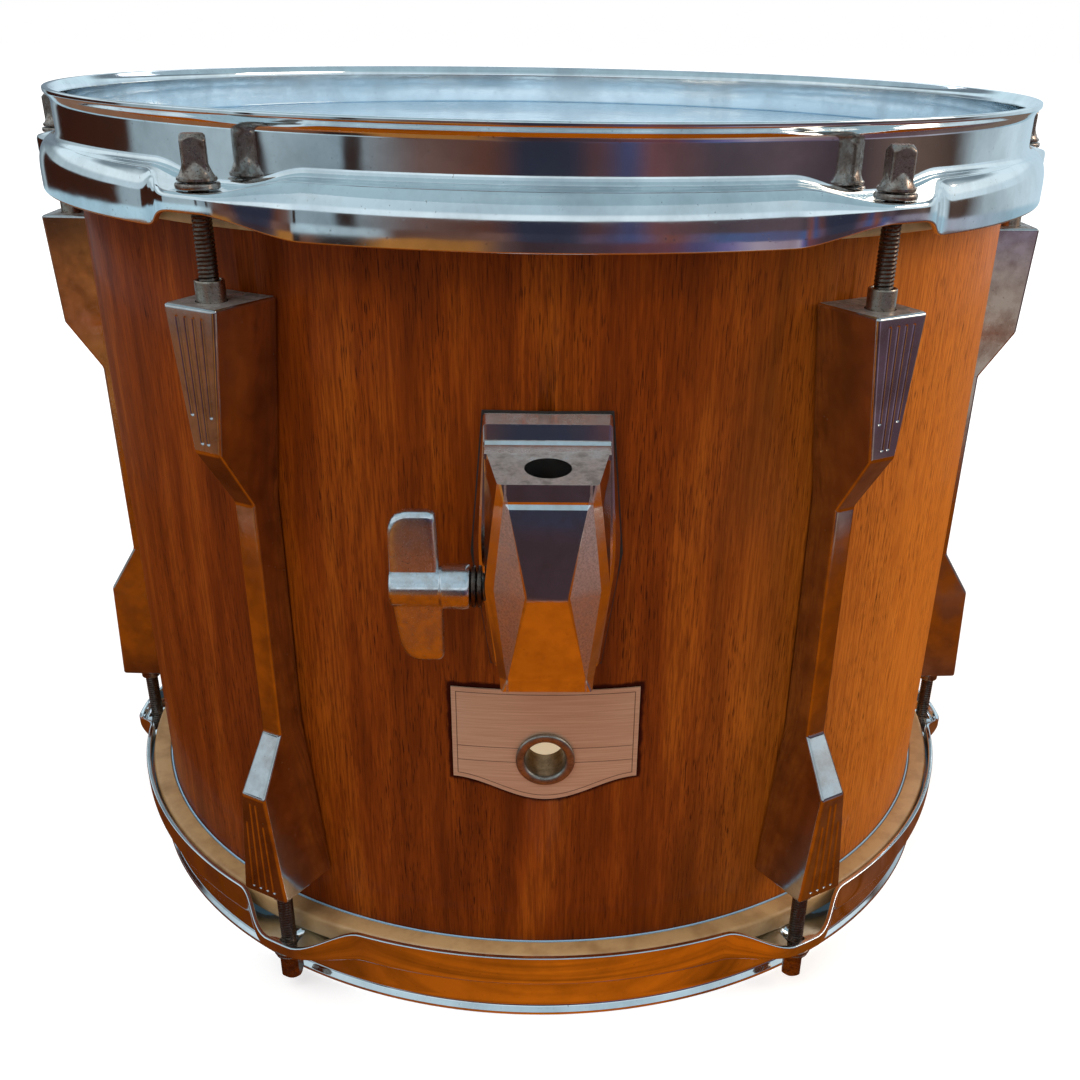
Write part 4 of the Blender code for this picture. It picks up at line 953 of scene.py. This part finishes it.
stripStops = [
    (-180, "#C8E4F0"), (-120, "#9DBCCC"), (-60, "#C4E2EE"), (-34, "#A8B8C0"), (-30, "#5A4038"),
    (-9, "#6E5048"), (-5, "#343545"), (5, "#343545"), (9, "#5E4A58"), (16, "#46527A"),
    (24, "#7A4A3E"), (34, "#4A5A82"), (56, "#5A5068"), (84, "#A8A2AE"), (120, "#9DBCCC"),
    (180, "#C8E4F0")
]
wallStops = [
    (-180, "#DDF2FF"), (-164, "#CCE2F0"), (-154, "#7E8E9A"), (-146, "#6C7A84"), (-140, "#A3B4BC"),
    (-138, "#331A12"), (-98, "#3C2218"), (-96, "#8FA0A8"), (-64, "#A8BAC2"), (-63, "#2A1C18"),
    (-60, "#2A1C18"), (-59, "#98A8B0"), (-42, "#8496A0"), (-41, "#30221E"), (-38, "#30221E"),
    (-37, "#7C868C"), (-26, "#6A5450"), (-12, "#5C3A30"), (-5, "#2C2F3E"), (5, "#2E3040"),
    (10, "#5A3C3C"), (16, "#3E4668"), (21, "#6A4648"), (34, "#4C4248"), (50, "#5C4C52"),
    (66, "#3A3036"), (78, "#6C5850"), (96, "#4A3A34"), (104, "#A8B8C0"), (126, "#C8DCE6"),
    (150, "#C0D8E6"), (180, "#DDF2FF")
]
upperStops = [
    (-180, "#CDE8F4"), (-90, "#E4F2F8"), (-40, "#C0D6E0"), (0, "#AFC6D2"), (40, "#BCD2DC"),
    (90, "#E4F2F8"), (180, "#CDE8F4")
]
cardAngle = np.linspace(0, 2 * pi, 128, endpoint=False)[:, None]
wallZ = np.array([0.0, 0.35, 0.75, stage["ceiling"]])[None, :]
cardRadius = stage["cardRadius"]
wallPoints = np.stack(np.broadcast_arrays(cardRadius * np.sin(cardAngle), -cardRadius * np.cos(cardAngle),
                                          wallZ), -1)
backStops = [
    (-180, "#6C7A84"), (-120, "#7C8C96"), (-90, "#E4F2F8"), (-40, "#C0D6E0"), (0, "#AFC6D2"),
    (40, "#BCD2DC"), (90, "#E4F2F8"), (120, "#7C8C96"), (180, "#6C7A84")
]
midStops = [
    (-180, "#DDF2FF"), (-164, "#CCE2F0"), (-154, "#7E8E9A"), (-146, "#6C7A84"), (-130, "#A8BAC2"),
    (-60, "#CDE2EE"), (-20, "#E4F4FC"), (20, "#E4F4FC"), (60, "#CDE2EE"), (126, "#C8DCE6"),
    (150, "#C0D8E6"), (180, "#DDF2FF")
]
wallLayers = [(0, 0, stripStops), (0.07, 0.09, wallStops), (0.33, 0.37, midStops), (0.5, 0.62, upperStops),
              (0.85, 1.0, backStops)]
stageObject("room_card", [gridSurface(wallPoints, True, False)], cardMaterial("paintedCard", wallLayers),
            True)
ceilingStops = [
    (-180, "#A0B6C2"), (-90, "#A4C0CC"), (0, "#98B2BE"), (90, "#A4C0CC"), (180, "#A0B6C2")
]
ceilingPoints = turned([(0.0, stage["ceiling"]), (0.7, stage["ceiling"]), (cardRadius, stage["ceiling"])], 64)
stageObject("ceiling_card", [gridSurface(ceilingPoints, True, False)],
            cardMaterial("ceilingCard", [(0, 0, ceilingStops)]), True)
tableStops = [
    (-180, "#8A4510"), (-90, "#A6510F"), (-30, "#A0500E"), (0, "#BC5E0E"), (36, "#9C4C0A"),
    (108, "#85400E"), (180, "#8A4510")
]
tablePoints = turned([(0.0, stage["cardRise"]), (0.3, stage["cardRise"]),
                      (stage["tableEdge"], stage["cardRise"])], 64)
nearTableStops = [
    (-180, "#8A4510"), (-80, "#5A2A12"), (-34, "#642E10"), (-20, "#A04E0C"), (0, "#BC5E0E"),
    (24, "#B4570B"), (38, "#8A4812"), (62, "#744430"), (110, "#7A4420"), (180, "#8A4510")
]
tableLayers = [(0, 0, nearTableStops), (0.27, 0.36, tableStops)]
tableBoards = {"along": 5.0, "across": 90.0, "width": 0.11, "seam": 0.003, "dark": "#6A3206"}
stageObject("table_card", [gridSurface(tablePoints, True, False)],
            cardMaterial("stainedCard", tableLayers, tableBoards, True), True)
roomFloorStops = [
    (-180, "#7A6A60"), (-70, "#8A5A3A"), (-48, "#6A4838"), (-44, "#2A1E1C"), (-38, "#30221E"),
    (-32, "#A87038"), (-15, "#A06A34"), (-9, "#5A4440"), (-4, "#3A2C30"), (6, "#42343A"),
    (24, "#6A4048"), (30, "#4A4A70"), (36, "#6E6490"), (42, "#9C8E9C"), (52, "#8A7480"),
    (70, "#5A4450"), (110, "#7A6A60"), (180, "#7A6A60")
]
nearFloorStops = [
    (-180, "#7A6A60"), (-70, "#8A5A3A"), (-46, "#9A5A34"), (-34, "#A87038"), (-15, "#A06A34"),
    (-9, "#5A4440"), (-4, "#3A2C30"), (6, "#42343A"), (24, "#8A6860"), (38, "#B8AA9C"),
    (52, "#A89A90"), (70, "#5A4450"), (180, "#7A6A60")
]
roomFloorPoints = turned([(stage["tableEdge"] + 0.001, stage["cardRise"]), (1.0, stage["cardRise"]),
                          (cardRadius, stage["cardRise"])], 64)
stageObject("room_floor_card", [gridSurface(roomFloorPoints, True, False)],
            cardMaterial("darkFloorCard", [(0, 0, nearFloorStops), (0.66, 0.84, roomFloorStops)], None,
                         True), True)


def softLight(name, place, aim, size, power, colour):
    data = bpy.data.lights.new(name, "AREA")
    data.shape = "RECTANGLE"
    data.size, data.size_y = size
    data.energy = power
    data.color = linearColour(colour)[:3]
    made = bpy.data.objects.new(name, data)
    made.location = place
    made.rotation_euler = (Vector(aim) - Vector(place)).to_track_quat("-Z", "Y").to_euler()
    bpy.context.collection.objects.link(made)
    return made


softLight("key_light", (-0.6, -0.8, 1.6), (0, 0, 0.15), (1.2, 1.2), stage["keyPower"], "#FFFFFF")
softLight("side_light", (1.5, -0.1, 0.8), (0, 0, 0.15), (0.9, 0.9), stage["sidePower"], "#FFEAD2")
softLight("back_light", (0.2, 1.2, 1.4), (0, 0, 0.2), (1.2, 0.8), stage["backPower"], "#F0F6FF")

# Camera at the photo's place: 28 degrees down and a little to the right, with the lens axis off the middle.
view = {"place": (-2.545, -478.716, 307.658), "down": 27.979, "right": 1.7573, "roll": 1.0597,
        "focal": 1193.517, "middle": (569.92, 651.64), "frame": 1080}
cameraData = bpy.data.cameras.new("camera")
camera = bpy.data.objects.new("camera", cameraData)
bpy.context.collection.objects.link(camera)
down, right, roll = (radians(view[key]) for key in ("down", "right", "roll"))
forward = Vector((sin(right) * cos(down), cos(right) * cos(down), -sin(down)))
sideways = forward.cross(Vector((0, 0, 1))).normalized()
upwards = sideways.cross(forward)
rolledSide = sideways * cos(roll) + upwards * sin(roll)
rolledUp = upwards * cos(roll) - sideways * sin(roll)
camera.matrix_world = Matrix.Translation(drumPlace @ Vector(view["place"])) @ Matrix(
    (rolledSide, rolledUp, -forward)).transposed().to_4x4()
cameraData.sensor_width = 36.0
cameraData.lens = view["focal"] * cameraData.sensor_width / view["frame"]
cameraData.shift_x = (view["frame"] / 2 - view["middle"][0]) / view["frame"]
cameraData.shift_y = (view["middle"][1] - view["frame"] / 2) / view["frame"]
cameraData.clip_start = 0.01
bpy.context.scene.camera = camera
bpy.context.scene.view_settings.view_transform = "Standard"
print("stage set")
